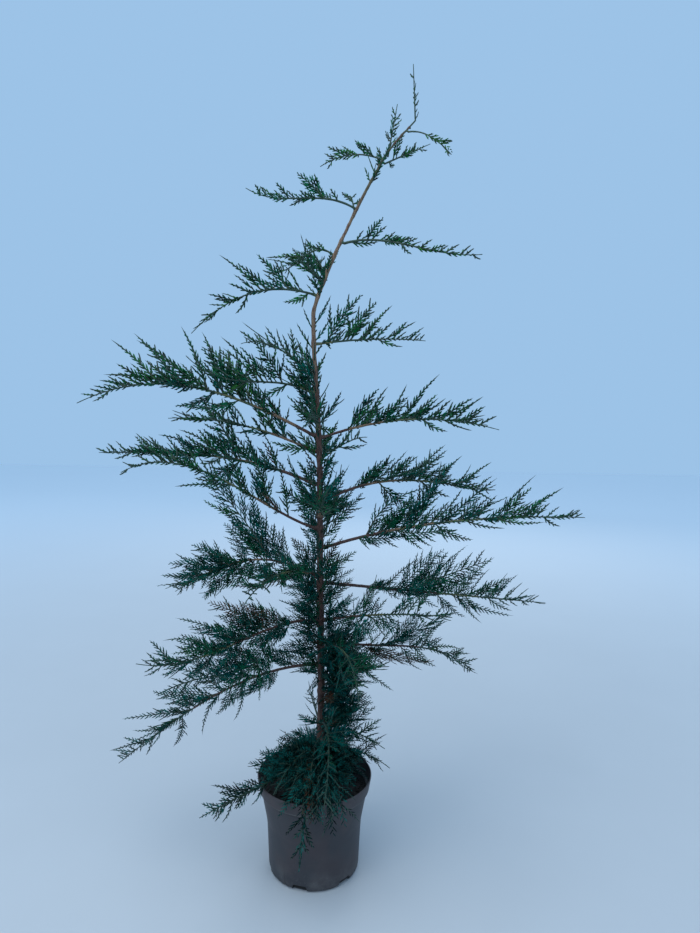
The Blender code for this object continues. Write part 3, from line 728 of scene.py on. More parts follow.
def leader_stem(trunk):
    """The leafy end of the leader, which carries on from the trunk's tip."""
    points, radii = trunk
    along = (points[-1] - points[-2]).normalized()
    start = points[-1] + along * CLEARANCE
    bend = start + along * LIMB_SEAT * 3
    tip = Vector(LEADER_TIP)
    line = [start, bend, bend.lerp(tip, 0.5), tip]
    thin = [radii[-1], radii[-1], radii[-1] * 0.75, LIMB_RADIUS_AT_TIP]
    return Stem("leader", Vector((1, 0, 0)), line, thin, LEADER_SHOOT)


limbs, stems = grow_limbs(trunk)
print("Bare limbs:", len(limbs), "leafy stems:", len(stems))

# %% [markdown]
# Young cypress bark is thin and flakes in upright strips. A limb is grown ring by ring: a
# circle is extruded, and each new ring is moved, turned and shrunk to the next place on the
# limb's line. Then noise that runs along the limb lifts the strips and sinks the furrows.

# %% Limbs with bark
BARK_NOISE = (0.9, 2.2, 4)


def ring_places(points, radii):
    """One matrix for each ring, turned as little as possible from ring to ring."""
    turn = Quaternion()
    ahead = Vector((0, 0, 1))
    places = []
    for i, (point, radius) in enumerate(zip(points, radii)):
        before = points[max(i - 1, 0)]
        after = points[min(i + 1, len(points) - 1)]
        new_ahead = (after - before).normalized()
        turn = ahead.rotation_difference(new_ahead) @ turn
        ahead = new_ahead
        size = Matrix.Diagonal((radius, radius, radius, 1))
        places.append(Matrix.Translation(point) @ turn.to_matrix().to_4x4() @ size)
    return places


def ring_edges(ring):
    return list({e for v in ring for e in v.link_edges if e.other_vert(v) in ring})


def grown_tube(points, radii, sides, kinds):
    """A closed tube extruded ring by ring along its line, with a material for each ring."""
    places = ring_places(points, radii)
    shape = bmesh.new()
    start = bmesh.ops.create_circle(shape, segments=sides, radius=1, cap_ends=True,
                                    matrix=places[0])
    ring = set(start["verts"])
    for before, after, kind in zip(places, places[1:], kinds):
        out = bmesh.ops.extrude_edge_only(shape, edges=ring_edges(ring))["geom"]
        ring = {part for part in out if isinstance(part, bmesh.types.BMVert)}
        bmesh.ops.transform(shape, matrix=after @ before.inverted(), verts=list(ring))
        for part in out:
            if isinstance(part, bmesh.types.BMFace):
                part.material_index = kind
    bmesh.ops.contextual_create(shape, geom=ring_edges(ring))
    bmesh.ops.recalc_face_normals(shape, faces=shape.faces)
    return shape


def roughen(shape, along, size, stretch, depth):
    """Strips and furrows: noise of one size across the limb, and longer along it."""
    shape.normal_update()
    normals = [vert.normal.copy() for vert in shape.verts]
    for vert, normal in zip(shape.verts, normals):
        drawn_out = vert.co - along * vert.co.dot(along) * (1 - 1 / stretch)
        lift = noise.fractal(drawn_out / size, *BARK_NOISE)
        vert.co += normal * depth * lift


def resampled(points, radii, gap):
    """The same line with a point every gap or so."""
    new_points, new_radii = [], []
    for i, (start, end) in enumerate(zip(points, points[1:])):
        count = max(1, round((end - start).length / gap))
        for step in range(count):
            share = step / count
            new_points.append(start.lerp(end, share))
            new_radii.append(radii[i] + (radii[i + 1] - radii[i]) * share)
    return new_points + [points[-1]], new_radii + [radii[-1]]


print(f"The trunk goes from {trunk[1][0] * 2000:.0f} mm across to {trunk[1][-1] * 2000:.1f} mm")

# %% [markdown]
# The trunk is one tube from under the soil's surface to the leader, swollen a little where
# each bough leaves it. Its colour changes with height: old bark is dark and reddish, the bark
# of last year is tan, and the newest wood is still olive. Height reads Object coordinates, so
# the change stays where it belongs on the trunk.

# %% Trunk
TRUNK_SIDES = 20
TRUNK_RING_GAP = 0.0026
TRUNK_SINKS = 0.004
TRUNK_FINE_STEPS = 10
SWELLING = 0.22
SWELLING_LENGTH = 0.006
BARK_DEPTH = 0.0007
BARK_STRIP = 0.0042
BARK_STRETCH = 7
BARK_OLD = (0.082, 0.038, 0.028)
BARK_FURROW = (0.028, 0.014, 0.012)
BARK_FLAKE = (0.170, 0.110, 0.085)
BARK_TAN = (0.215, 0.138, 0.082)
BARK_OLIVE = (0.048, 0.056, 0.024)
TAN_BETWEEN = (0.86, 1.04)
OLIVE_BETWEEN = (1.15, 1.28)


def swollen(points, radii):
    """Radii with a soft swelling at the height of each bough."""
    for point, radius in zip(points, radii):
        nearest = min(abs(point.z - bough.height) for bough in BOUGHS)
        yield radius * (1 + SWELLING * math.exp(-(nearest / SWELLING_LENGTH) ** 2))


def bark_finish():
    finish = Finish("bark_trunk", BARK_OLD, 0.85)
    height = finish.height()
    strips = finish.grain(0.0026, 5, stretch=(1, 1, 0.14), rough=0.6)
    patches = finish.grain(0.012, 3, stretch=(1, 1, 0.3))
    flakes = finish.grain(0.0016, 3, stretch=(1, 1, 0.35)).between(0.55, 0.72)
    young = (height + patches * 0.10).between(*TAN_BETWEEN)
    newest = (height + patches * 0.06).between(*OLIVE_BETWEEN)
    old = finish.mix(strips.between(0.38, 0.56), BARK_FURROW, BARK_OLD)
    old = finish.mix(flakes * 0.55, old, BARK_FLAKE)
    tan = finish.mix(strips.between(0.35, 0.60), BARK_OLD, BARK_TAN)
    olive = finish.mix(patches.between(0.45, 0.75), BARK_OLIVE, BARK_OLD)
    colour = finish.mix(newest, finish.mix(young, old, tan), olive)
    return finish.finish_with(
        colour=colour,
        roughness=strips * -0.25 + 0.95,
        bump=strips + flakes * 0.3,
        bump_height=0.0006,
    )


def make_trunk():
    points, radii = trunk_line(TRUNK_FINE_STEPS)
    points.insert(0, points[0] - UP * TRUNK_SINKS)
    radii.insert(0, radii[0])
    points, radii = resampled(points, radii, TRUNK_RING_GAP)
    radii = list(swollen(points, radii))
    shape = grown_tube(points, radii, TRUNK_SIDES, [0] * len(points))
    roughen(shape, UP, BARK_STRIP, BARK_STRETCH, BARK_DEPTH)
    made = new_piece("bark_of_trunk", shape)
    made.data.shade_smooth()
    made.data.materials.append(bark_finish())
    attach(made, "root")
    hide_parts("trunk")
    print("Trunk rings:", len(points))


make_trunk()

# %% [markdown]
# A bough is brown where it leaves the trunk and turns tan, olive and at last leaf green
# towards its tip, as its wood gets younger. Short boughs and the lowest ones are young wood, so
# they are green sooner. These are plain colours dealt out along the bough, ring by ring, so each
# stays in its place.

# %% Woods
OLD_WOOD_UP_TO = 0.55
YOUNGER_PER_METRE = 0.85
WOOD_LIMITS = (0.34, 0.54, 0.72)
LOWEST_TAN = 0.52
LOWEST_OLIVE = 0.42
WOOD_LOOKS = (
    ("wood_brown", (0.080, 0.036, 0.028), (0.032, 0.017, 0.014), 0.80),
    ("wood_tan", (0.190, 0.120, 0.066), (0.096, 0.054, 0.034), 0.75),
    ("wood_olive", (0.105, 0.115, 0.044), (0.056, 0.066, 0.028), 0.65),
    ("wood_green", (0.016, 0.048, 0.024), (0.009, 0.032, 0.019), 0.60),
)


def wood_finish(name, colour, dark, roughness):
    finish = Finish(name, colour, roughness)
    grain = finish.grain(0.0022, 4, rough=0.6)
    mottled = finish.mix(grain.between(0.36, 0.62), dark, colour)
    return finish.finish_with(colour=mottled, bump=grain, bump_height=0.0003)


WOODS = [wood_finish(*look) for look in WOOD_LOOKS]


def kind_of_wood(share, height, start):
    """Brown near the trunk to green at the tip. Only the upper boughs show tan and olive."""
    youth = share + max(0, height - OLD_WOOD_UP_TO) * YOUNGER_PER_METRE + start
    kind = sum(youth > limit for limit in WOOD_LIMITS)
    if height < LOWEST_TAN and kind == 1:
        return 0
    if height < LOWEST_OLIVE and kind == 2:
        return 3
    return kind


print("Woods:", ", ".join(wood.name for wood in WOODS))

# %% [markdown]
# Boughs start a little inside the trunk, with a collar, because a real bough is one piece with
# it. All of them together make one piece, and the green end of the leader is part of it.

# %% Boughs
BOUGH_SIDES = 8
BOUGH_RING_GAP = 0.006
BOUGH_BARK_DEPTH = 0.00028
BOUGH_BARK_STRIP = 0.0022
BOUGH_BARK_STRETCH = 4
BOUGH_SINKS = 0.45
COLLAR_LENGTH = 0.005
COLLAR_SWELL = 0.7
COLLAR_WIDEST = 0.8
AGE_SPREAD = 0.06
LOW_SHOOTS = 0.30
LOW_SHOOTS_GREEN = 0.85
SHORT_SHOOTS = 0.27
SHORT_SHOOTS_GREEN = 0.25


def whole_limb(bough):
    """A fine line from inside the trunk to the bough's tip, with a collar at its foot."""
    middle, _, trunk_radius = trunk_at(trunk, bough.height)
    points, radii = limb_line(bough, trunk, 0, 1, BOUGH_RING_GAP)
    points.insert(0, points[0].lerp(middle, BOUGH_SINKS))
    radii.insert(0, radii[0])
    collar = [math.exp(-((point - points[1]).length / COLLAR_LENGTH) ** 2) for point in points]
    widest = trunk_radius * COLLAR_WIDEST
    swelled = [min(r * (1 + COLLAR_SWELL * c), max(widest, r)) for r, c in zip(radii, collar)]
    return points, swelled


def grown_bough(bough):
    points, radii = whole_limb(bough)
    start = random.Random(bough.name + " age").uniform(-AGE_SPREAD, AGE_SPREAD)
    start += LOW_SHOOTS_GREEN if bough.height < LOW_SHOOTS else 0
    start += SHORT_SHOOTS_GREEN if bough.reach < SHORT_SHOOTS else 0
    kinds = [kind_of_wood(i / len(points), point.z, start) for i, point in enumerate(points)]
    shape = grown_tube(points, radii, BOUGH_SIDES, kinds)
    roughen(shape, heading_of(bough), BOUGH_BARK_STRIP, BOUGH_BARK_STRETCH, BOUGH_BARK_DEPTH)
    return shape


def leader_tip():
    """The green end of the trunk, which no bough row covers."""
    leader = stems[-1]
    points, radii = resampled(leader.points, leader.radii, BOUGH_RING_GAP)
    points.insert(0, points[0] - UP * TRUNK_SINKS)
    radii.insert(0, radii[0])
    return "leader", grown_tube(points, radii, BOUGH_SIDES, [3] * len(points))


def make_boughs():
    together = bmesh.new()
    for name, shape in [(bough.name, grown_bough(bough)) for bough in BOUGHS] + [leader_tip()]:
        mesh = bpy.data.meshes.new(name)
        shape.to_mesh(mesh)
        shape.free()
        together.from_mesh(mesh)
        bpy.data.meshes.remove(mesh)
    made = new_piece("bark_of_boughs", together)
    made.data.shade_smooth()
    for wood in WOODS:
        made.data.materials.append(wood)
    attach(made, "root")
    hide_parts(*("bough_" + limb.name for limb in limbs))
    print("Bough faces:", len(made.data.polygons))


make_boughs()

# %% [markdown]
# Side shoots follow the part's rule exactly: they alternate along a stem, most on its upper
# side and every fifth hanging, and a shoot is kept only where its whole blade has room. The
# same names seed the same random numbers, so each spray grows where its solid stands. These
# are the sizes that the rule works with.

# %% Sizes of the shoots, as in the part
FIRST_SHOOT = 0.014
LAST_SHOOT = 0.010
SPACING_LEAST = 0.015
SPACING_PER_LENGTH = 0.28
SHOOT_LEAST = 0.022
OPENING_ANGLE = math.radians(54)
CLOSING_ANGLE = math.radians(27)
LIFT = 0.22
UPRIGHTNESS = 1.2
RISING_TURN = (8, 105)
HANGING_TURN = (125, 165)
HANGING_EVERY = 5
HANGING_SHARE = 0.75
LENGTH_SPREAD = (0.85, 1.1)
TOOTH_SPREAD = (0.8, 1.15)
ROLL = 38
SHOOT_SIZES = (1.0, 0.85, 0.7, 0.58, 0.46)
SHOOT_LEANS = (0, 30, -30, 60, -60, 95, -95)
PAIRS_BY_LENGTH = (0.046, 0.088)
BLADE_THICKNESS = 0.018
BLADE_WIDTH = 0.32
TOOTH_SHRINK = 0.55
RIDGE_SHRINK = 0.5
TOOTH_AHEAD = 0.15
NOTCH_AHEAD = 0.065
NOTCH_WIDTH = 0.44
ROOT_SHARE = 0.6
STATION_CURVE = 0.9
STEEP_FROM = 0.8
PROBE_SHARES = (0.35, 0.7, 1.0)
FOOT_LENGTH = 0.75
FOOT_RISE = 1.5
TIP_FALL = 0.8
TIP_FALL_CURVE = 1.8
AXIS_SAMPLE = 0.0025
SPACE_MARGIN = 0.0016
WOOD_MARGIN = 0.0022

Shoot = namedtuple("Shoot", "spine across teeth root")
Spray = namedtuple("Spray", "root opening closing across length radius share stem vigour",
                   defaults=(1.0,))
print("Sizes that a shoot tries:", len(SHOOT_SIZES), "and leans:", len(SHOOT_LEANS))

# %% [markdown]
# A mass keeps to its own room: nearer to its own stem than to any other, and clear of wood, pot
# and compost. A tree of points answers how far the nearest stem is, which is quick even when
# it is asked many thousands of times.

# %% Room for each mass, as in the part
def sampled(points):
    """Points every AXIS_SAMPLE or so along a line."""
    for start, end in zip(points, points[1:]):
        count = max(1, math.ceil((end - start).length / AXIS_SAMPLE))
        for i in range(count):
            yield start.lerp(end, i / count)
    yield points[-1]


def tree_of(lines):
    places = [place for line in lines for place in sampled(line)]
    tree = KDTree(len(places))
    for index, place in enumerate(places):
        tree.insert(place, index)
    tree.balance()
    return tree


def clear_of_pot(point):
    """True off the pot's wall and rim, above the soil and above the ground."""
    out = math.hypot(point.x, point.y)
    if point.z > POT_HEIGHT + WOOD_MARGIN:
        return True
    if out > RIM_RADIUS + WOOD_MARGIN:
        return point.z > WOOD_MARGIN
    in_mouth = out < wall_radius(SOIL_TOP) - WALL - WOOD_MARGIN
    return in_mouth and point.z > SOIL_TOP + WOOD_MARGIN


def near(wood, stem):
    """The pieces of wood that a stem's shoots could reach."""
    lowest = min(point.z for point in stem.points) - stem.shoot
    highest = max(point.z for point in stem.points) + stem.shoot
    for line, radius in wood:
        heights = [point.z for point in line]
        if min(heights) < highest and max(heights) > lowest:
            yield line, radius


class Space:
    """The room that one mass may fill."""

    def __init__(self, stem):
        self.own = tree_of([stem.points])
        self.others = tree_of([other.points for other in stems if other is not stem])
        wood = [(limb.points, max(limb.radii)) for limb in limbs]
        points, radii = trunk
        wood += [((start, end), radius) for start, end, radius in zip(points, points[1:], radii)]
        self.wood = [(tree_of([line]), radius) for line, radius in near(wood, stem)]

    def off_wood(self, point):
        return all(tree.find(point)[2] > radius + WOOD_MARGIN for tree, radius in self.wood)

    def holds(self, point):
        if not clear_of_pot(point):
            return False
        if self.own.find(point)[2] + SPACE_MARGIN > self.others.find(point)[2]:
            return False
        return self.off_wood(point)

    def lets_in(self, point):
        """Finer sprays may mingle with their neighbours, but not with wood, pot or soil."""
        return clear_of_pot(point) and self.off_wood(point)


print("Points that mark the trunk:", len(list(sampled(trunk[0]))))

# %% [markdown]
# A shoot leaves its stem at a wide angle and closes towards the stem's own course. The way out
# turns round the stem, and the flat side of the shoot leans towards upright.

# %% Course of a shoot, as in the part
def point_along(points, distance):
    """Place, direction and share of the way at a distance along a line."""
    whole = sum((b - a).length for a, b in zip(points, points[1:]))
    left = distance
    for start, end in zip(points, points[1:]):
        piece = (end - start).length
        if left <= piece:
            return start.lerp(end, left / piece), (end - start).normalized(), distance / whole
        left -= piece
    return points[-1], (points[-1] - points[-2]).normalized(), 1.0


def frame_of(ahead, heading):
    """Two directions across a stem: the upper one first."""
    reference = UP if abs(ahead.z) < STEEP_FROM else heading
    upper = (reference - ahead * reference.dot(ahead)).normalized()
    return upper, ahead.cross(upper)


def courses(ahead, out):
    """The directions in which a shoot leaves its stem and in which it ends."""
    opening = ahead * math.cos(OPENING_ANGLE) + out * math.sin(OPENING_ANGLE)
    closing = ahead * math.cos(CLOSING_ANGLE) + out * math.sin(CLOSING_ANGLE) + UP * LIFT
    return opening, closing.normalized()


def width_way(opening, ahead, roll):
    """The direction across a spray's flat side."""
    sideways = opening.cross(ahead).cross(opening).normalized()
    upright = UP - opening * opening.z
    upright *= 1 if upright.dot(sideways) > 0 else -1
    return Matrix.Rotation(roll, 3, opening) @ (sideways + upright * UPRIGHTNESS).normalized()


print("60 cm along the trunk:", point_along(trunk[0], 0.6)[0])

# %% [markdown]
# The ridges and toothed edges of a shoot's blade aren't made here. They only say where points
# have to be tested, so that the finer spray starts with the room, the size and the lean that
# the solid's blade has.

# %% Test points on a blade, as in the part
def make_shoot(root, ahead, out, length, roll, widths, thickness):
    """A shoot that opens from its stem and closes towards the stem's own direction."""
    pairs = len(widths)
    opening, closing = courses(ahead, out)
    stations = [(i / (pairs + 1)) ** STATION_CURVE for i in range(pairs + 2)]
    spine = [root]
    for before, after in zip(stations, stations[1:]):
        course = opening.lerp(closing, (before + after) / 2).normalized()
        spine.append(spine[-1] + course * length * (after - before))
    teeth = [
        (BLADE_WIDTH * length * left * (1 - TOOTH_SHRINK * i / pairs),
         BLADE_WIDTH * length * right * (1 - TOOTH_SHRINK * i / pairs))
        for i, (left, right) in enumerate(widths)
    ]
    return Shoot(spine, width_way(opening, ahead, roll), teeth, thickness * ROOT_SHARE)


def blade_lines(shoot):
    """Top and under ridges and the two toothed edges of the blade on a shoot's spine."""
    spine = shoot.spine
    length = sum((b - a).length for a, b in zip(spine, spine[1:]))
    tops, unders, lefts, rights = [], [], [], []
    for i in range(len(spine) - 1):
        ahead = (spine[i + 1] - spine[i]).normalized()
        across = (shoot.across - ahead * shoot.across.dot(ahead)).normalized()
        normal = ahead.cross(across)
        if i == 0:
            half = shoot.root
            lefts.append(spine[0] + across * shoot.root)
            rights.append(spine[0] - across * shoot.root)
        else:
            half = BLADE_THICKNESS * length / 2 * (1 - RIDGE_SHRINK * i / len(spine))
            left, right = shoot.teeth[i - 1]
            tip = spine[i] + ahead * TOOTH_AHEAD * length
            notch = spine[i] + ahead * NOTCH_AHEAD * length
            lefts += [tip + across * left, notch + across * left * NOTCH_WIDTH]
            rights += [tip - across * right, notch - across * right * NOTCH_WIDTH]
        tops.append(spine[i] + normal * half)
        unders.append(spine[i] - normal * half)
    return tops, unders, lefts, rights


def blade_probes(shoot):
    """Points on a blade close enough together to test whether it fits its space."""
    tops, unders, lefts, rights = blade_lines(shoot)
    apex = shoot.spine[-1]
    probes = tops[1:] + unders[1:] + [apex]
    for line in (lefts, rights, shoot.spine):
        for start, end in zip(line, line[1:]):
            probes += [start.lerp(end, share) for share in PROBE_SHARES]
    probes += [lefts[-1].lerp(apex, 0.5), rights[-1].lerp(apex, 0.5)]
    return probes


print("Half a blade's width as a share of its length:", BLADE_WIDTH)

# %% [markdown]
# Along its stem each shoot gets a length, a side and a lean by chance. Where its blade doesn't
# fit, smaller sizes and other leans are tried in turn, and where none of them fits the shoot is
# left out.

# %% Shoots along a stem, as in the part
def outline_of_crown(share):
    """Length of the side shoots along a stem, as a share of the longest."""
    rising = min(1, FOOT_LENGTH + FOOT_RISE * share)
    return rising * (1 - TIP_FALL * share ** TIP_FALL_CURVE)


def shoots_of(stem, space):
    """The sprays that stand where one mass has its blades, with their distances."""
    rng = random.Random(stem.name)
    whole = sum((b - a).length for a, b in zip(stem.points, stem.points[1:]))
    distance, index = FIRST_SHOOT, 0
    while distance < whole - LAST_SHOOT:
        root, ahead, share = point_along(stem.points, distance)
        upper, beside = frame_of(ahead, stem.heading)
        hangs = index % HANGING_EVERY == HANGING_EVERY - 2
        turn = math.radians(rng.uniform(*(HANGING_TURN if hangs else RISING_TURN)))
        turn *= 1 if index % 2 else -1
        out = upper * math.cos(turn) + beside * math.sin(turn)
        length = stem.shoot * outline_of_crown(share) * rng.uniform(*LENGTH_SPREAD)
        length = min(length, whole - distance)
        length = max(length, SHOOT_LEAST)
        length *= HANGING_SHARE if hangs else 1
        pairs = 1 + sum(length > step for step in PAIRS_BY_LENGTH)
        widths = [(rng.uniform(*TOOTH_SPREAD), rng.uniform(*TOOTH_SPREAD)) for _ in range(pairs)]
        roll = math.radians(rng.uniform(-ROLL, ROLL))
        thickness = stem.radii[-1] + (stem.radii[0] - stem.radii[-1]) * (1 - share)
        for size, lean in product(SHOOT_SIZES, SHOOT_LEANS):
            leaning = Matrix.Rotation(math.radians(lean), 3, ahead) @ out
            shoot = make_shoot(root, ahead, leaning, length * size, roll, widths, thickness)
            if all(space.holds(probe) for probe in blade_probes(shoot)):
                opening, closing = courses(ahead, leaning)
                yield distance, Spray(root, opening, closing, shoot.across, length * size,
                                      thickness * ROOT_SHARE, share, stem)
                break
        distance += SPACING_LEAST + SPACING_PER_LENGTH * length * size
        index += 1


print("Rule ready for", len(stems), "stems")

# %% [markdown]
# No two boughs grow alike. A habit says how much of a bough is bare at its foot, how long and
# how vigorous its sprays are, and how wide the gaps between them. A bough without a row here
# keeps to the plain rule.

# %% Habits of the boughs
NEW_GROWTH = (1.00, 1.16)
Habit = namedtuple("Habit", "bare length vigour gap", defaults=(0, 1, 1, 1))
HABITS = {
    "leader": Habit(0, 0.60, 0.9, 1.2),
    "top_1": Habit(0.5, 1.1, 1.2, 0.8),
    "top_2": Habit(0.1, 1.0, 1.1, 0.9),
    "top_3": Habit(0, 0.9, 1.2, 0.5),
    "top_4": Habit(0.1, 1.1, 1.2, 0.8),
    "top_5": Habit(0.3, 0.8, 1.0, 1.6),
    "left_1": Habit(0.12, 1.0, 1.2, 1.0),
    "left_4": Habit(0, 1.0, 1.0, 1.2),
    "left_5": Habit(0, 1.0, 1.0, 1.3),
    "left_6": Habit(0, 1.0, 1.0, 0.9),
    "left_8": Habit(0, 1.0, 1.1, 0.75),
    "left_10": Habit(0, 1.1, 1.1, 0.7),
    "left_11": Habit(0, 1.0, 1.1, 0.8),
    "right_3": Habit(0, 1.0, 1.0, 0.8),
    "right_4": Habit(0, 1.0, 1.0, 1.3),
    "right_5": Habit(0, 1.0, 1.0, 0.85),
    "right_7": Habit(0, 1.0, 1.0, 1.1),
    "right_11": Habit(0, 1.0, 1.1, 0.8),
    "right_12": Habit(0, 1.1, 1.1, 0.8),
    "left_14": Habit(0, 1.15, 1.4, 0.45),
    "back_6": Habit(0, 0.6, 0.9, 1.3),
    "back_7": Habit(0, 0.8, 1.0, 1.1),
    "front_7": Habit(0, 1.2, 1.5, 0.8),
}


def habit_of(stem):
    return HABITS.get(stem.name, Habit())


def youth_of(height):
    """0 in the old crown and 1 in the newest growth at the top."""
    return min(1, max(0, (height - NEW_GROWTH[0]) / (NEW_GROWTH[1] - NEW_GROWTH[0])))


def in_habit(spray):
    """The spray as its own bough tends to grow it."""
    habit = habit_of(spray.stem)
    return spray._replace(length=spray.length * habit.length, vigour=spray.vigour * habit.vigour)


print("Boughs with a habit of their own:", len(HABITS))

# %% [markdown]
# The main boughs carry a few side strands that are much longer than the rest, and they give
# each bough its outline. So they are placed one by one: the share of the bough's length where
# one grows, its length in metres, its angle above the bough's heading in degrees, and the sweep
# by which it bends from foot to tip.

# %% Long side strands
STRANDS = {
    "left_4": ((0.07, 0.060, 88, -15), (0.29, 0.060, 55, -20), (0.44, 0.050, 30, -25)),
    "left_6": ((0.32, 0.095, 80, 15), (0.42, 0.110, 75, 15), (0.47, 0.115, 68, 8),
        (0.51, 0.130, 38, 13), (0.55, 0.145, 7, 9)),
    "left_8": ((0.17, 0.070, 70, 15), (0.25, 0.075, 65, 10), (0.33, 0.070, 60, 5),
        (0.42, 0.095, 30, 20), (0.48, 0.100, 20, 18)),
    "left_9": ((0.16, 0.100, 80, 5), (0.27, 0.075, 72, 15), (0.45, 0.095, 0, 7)),
    "left_10": ((0.15, 0.135, -18, -28), (0.19, 0.065, 75, 5), (0.29, 0.080, 55, 9),
        (0.34, 0.092, 35, 10), (0.51, 0.085, 2, 2), (0.58, 0.090, -12, 3)),
    "left_11": ((0.28, 0.068, -60, -14), (0.36, 0.085, 45, 18), (0.48, 0.115, 27, 13),
        (0.60, 0.095, 20, 25), (0.75, 0.070, 8, 5)),
    "left_12": ((0.29, 0.220, -18, 17), (0.36, 0.080, -78, -20), (0.48, 0.125, -28, 12),
        (0.48, 0.083, -70, 20), (0.65, 0.110, -20, -25)),
    "right_3": ((0.26, 0.078, 60, 12), (0.35, 0.075, 60, -7), (0.44, 0.065, 47, -7),
        (0.53, 0.067, 34, -8), (0.70, 0.050, -19, -9)),
    "right_5": ((0.25, 0.090, 40, -8), (0.39, 0.088, 23, -9), (0.72, 0.056, 44, -18),
        (0.82, 0.062, -29, 3)),
    "right_6": ((0.18, 0.140, 40, 30), (0.42, 0.085, 49, -13), (0.55, 0.068, -8, -11),
        (0.65, 0.077, 26, -16), (0.73, 0.060, 16, -5)),
    "right_7": ((0.26, 0.085, 43, 11), (0.45, 0.075, 53, 13), (0.59, 0.076, -48, -10),
        (0.64, 0.067, 48, 11), (0.73, 0.059, 54, 6), (0.80, 0.047, 45, 3)),
    "right_9": ((0.55, 0.085, 34, 16), (0.66, 0.071, -8, 20)),
}
STRAND_VIGOUR = 0.55
STRAND_RADIUS = (0.0006, 0.009)
STRAND_ASIDE = 9
STRAND_ROLL = 28


def fine_line_of(stem):
    """The line that the bark follows, for roots that sit on it."""
    for bough in BOUGHS:
        if bough.name == stem.name:
            return limb_line(bough, trunk, 0, 1, BOUGH_RING_GAP)[0]
    return resampled(stem.points, stem.radii, BOUGH_RING_GAP)[0]


def radius_for(length, sizes):
    """How thick an axis is: the least radius, and how much it gains with its length."""
    least, per_length = sizes
    return least + per_length * length


def long_strands(stem, line):
    """The long side strands of a bough, set in its own upright plane."""
    rng = random.Random(stem.name + " whips")
    beside = UP.cross(stem.heading)
    for share, length, angle, sweep in STRANDS.get(stem.name, ()):
        root = line[round(share * (len(line) - 1))]
        aside = beside * math.tan(math.radians(rng.uniform(-STRAND_ASIDE, STRAND_ASIDE)))
        ends = []
        for turn in (math.radians(angle + sweep), math.radians(angle - sweep)):
            end = stem.heading * math.cos(turn) + UP * math.sin(turn) + aside
            ends.append(end.normalized())
        roll = math.radians(rng.uniform(-STRAND_ROLL, STRAND_ROLL))
        across = Matrix.Rotation(roll, 3, ends[0]) @ ends[0].cross(beside).normalized()
        radius = radius_for(length, STRAND_RADIUS)
        yield Spray(root, *ends, across, length, radius, share, stem, STRAND_VIGOUR)


print("Long side strands:", sum(len(rows) for rows in STRANDS.values()))

# %% [markdown]
# The solids carry a few large blades. The real bough has many more sprays, so finer ones are
# set in the gaps between them, less than a centimetre apart, by a rule of their own. The outer
# part of a bough bears twigs itself, right up to its tip. All of them root on the fine line
# that the bark follows.

# %% Finer sprays
FINE_GAP = 0.0066
FINE_FROM = 0.004
FINE_JITTER = (0.7, 1.3)
FINE_PROBES = (0.3, 0.65, 1)
FINE_SHORT = (0.35, 0.75)
FINE_LONG = (1.10, 1.60)
FINE_ROOM_AHEAD = 0.85
FINE_ROLL = 50
FINE_RADIUS = (0.0005, 0.008)
LONG_ONES = 0.15
SLENDER_FROM = 0.3
FINE_TURN = (0, 100)
FINE_TURN_LOW = (0, 155)
LOW_CROWN = 0.62
FINE_LEAST = 0.018
BARE_TIP = 0.048
YOUNG_GAP = 0.5
FEATHER_FROM = 0.34
FEATHER_LENGTH = 0.062
FEATHER_OVERLAP = 0.75
FEATHER_ROLL = 40
FEATHER_RADIUS = 0.0006
FEATHER_VIGOUR = 0.62
FEATHER_LIFT = 0.3
FEATHER_ENDS = 0.98
TIP_VIGOUR = 0.45


def seated(spray, tree):
    return spray._replace(root=tree.find(spray.root)[0])


def fine_sprays(stem, space, taken):
    """Smaller sprays between those at the taken distances, and on to the tip."""
    rng = random.Random(stem.name + " fine")
    whole = sum((b - a).length for a, b in zip(stem.points, stem.points[1:]))
    marks = [FINE_FROM] + taken + [max(whole - BARE_TIP, taken[-1] if taken else 0)]
    gap = FINE_GAP * habit_of(stem).gap
    gap *= 1 + YOUNG_GAP * youth_of(stem.points[0].z)
    side = 1
    for start, end in zip(marks, marks[1:]):
        count = max(0, round((end - start) / gap) - 1)
        for i in range(count):
            distance = start + (end - start) * (i + rng.uniform(*FINE_JITTER)) / (count + 1)
            root, ahead, share = point_along(stem.points, distance)
            upper, beside = frame_of(ahead, stem.heading)
            low_down = root.z < LOW_CROWN
            turn = math.radians(rng.uniform(*(FINE_TURN_LOW if low_down else FINE_TURN))) * side
            side = -side
            out = upper * math.cos(turn) + beside * math.sin(turn)
            is_long = rng.random() < LONG_ONES
            longest = stem.shoot * outline_of_crown(share)
            longest *= rng.uniform(*(FINE_LONG if is_long else FINE_SHORT))
            length = max(FINE_LEAST, min(longest, (whole - distance) * FINE_ROOM_AHEAD))
            opening, closing = courses(ahead, out)
            far = [root + (opening + closing) * length * reach / 2 for reach in FINE_PROBES]
            if all(space.lets_in(place) for place in far):
                roll = math.radians(rng.uniform(-FINE_ROLL, FINE_ROLL))
                across = width_way(opening, ahead, roll)
                radius = radius_for(length, FINE_RADIUS)
                vigour = STRAND_VIGOUR if is_long and share > SLENDER_FROM else 1
                yield Spray(root, opening, closing, across, length, radius, share, stem, vigour)


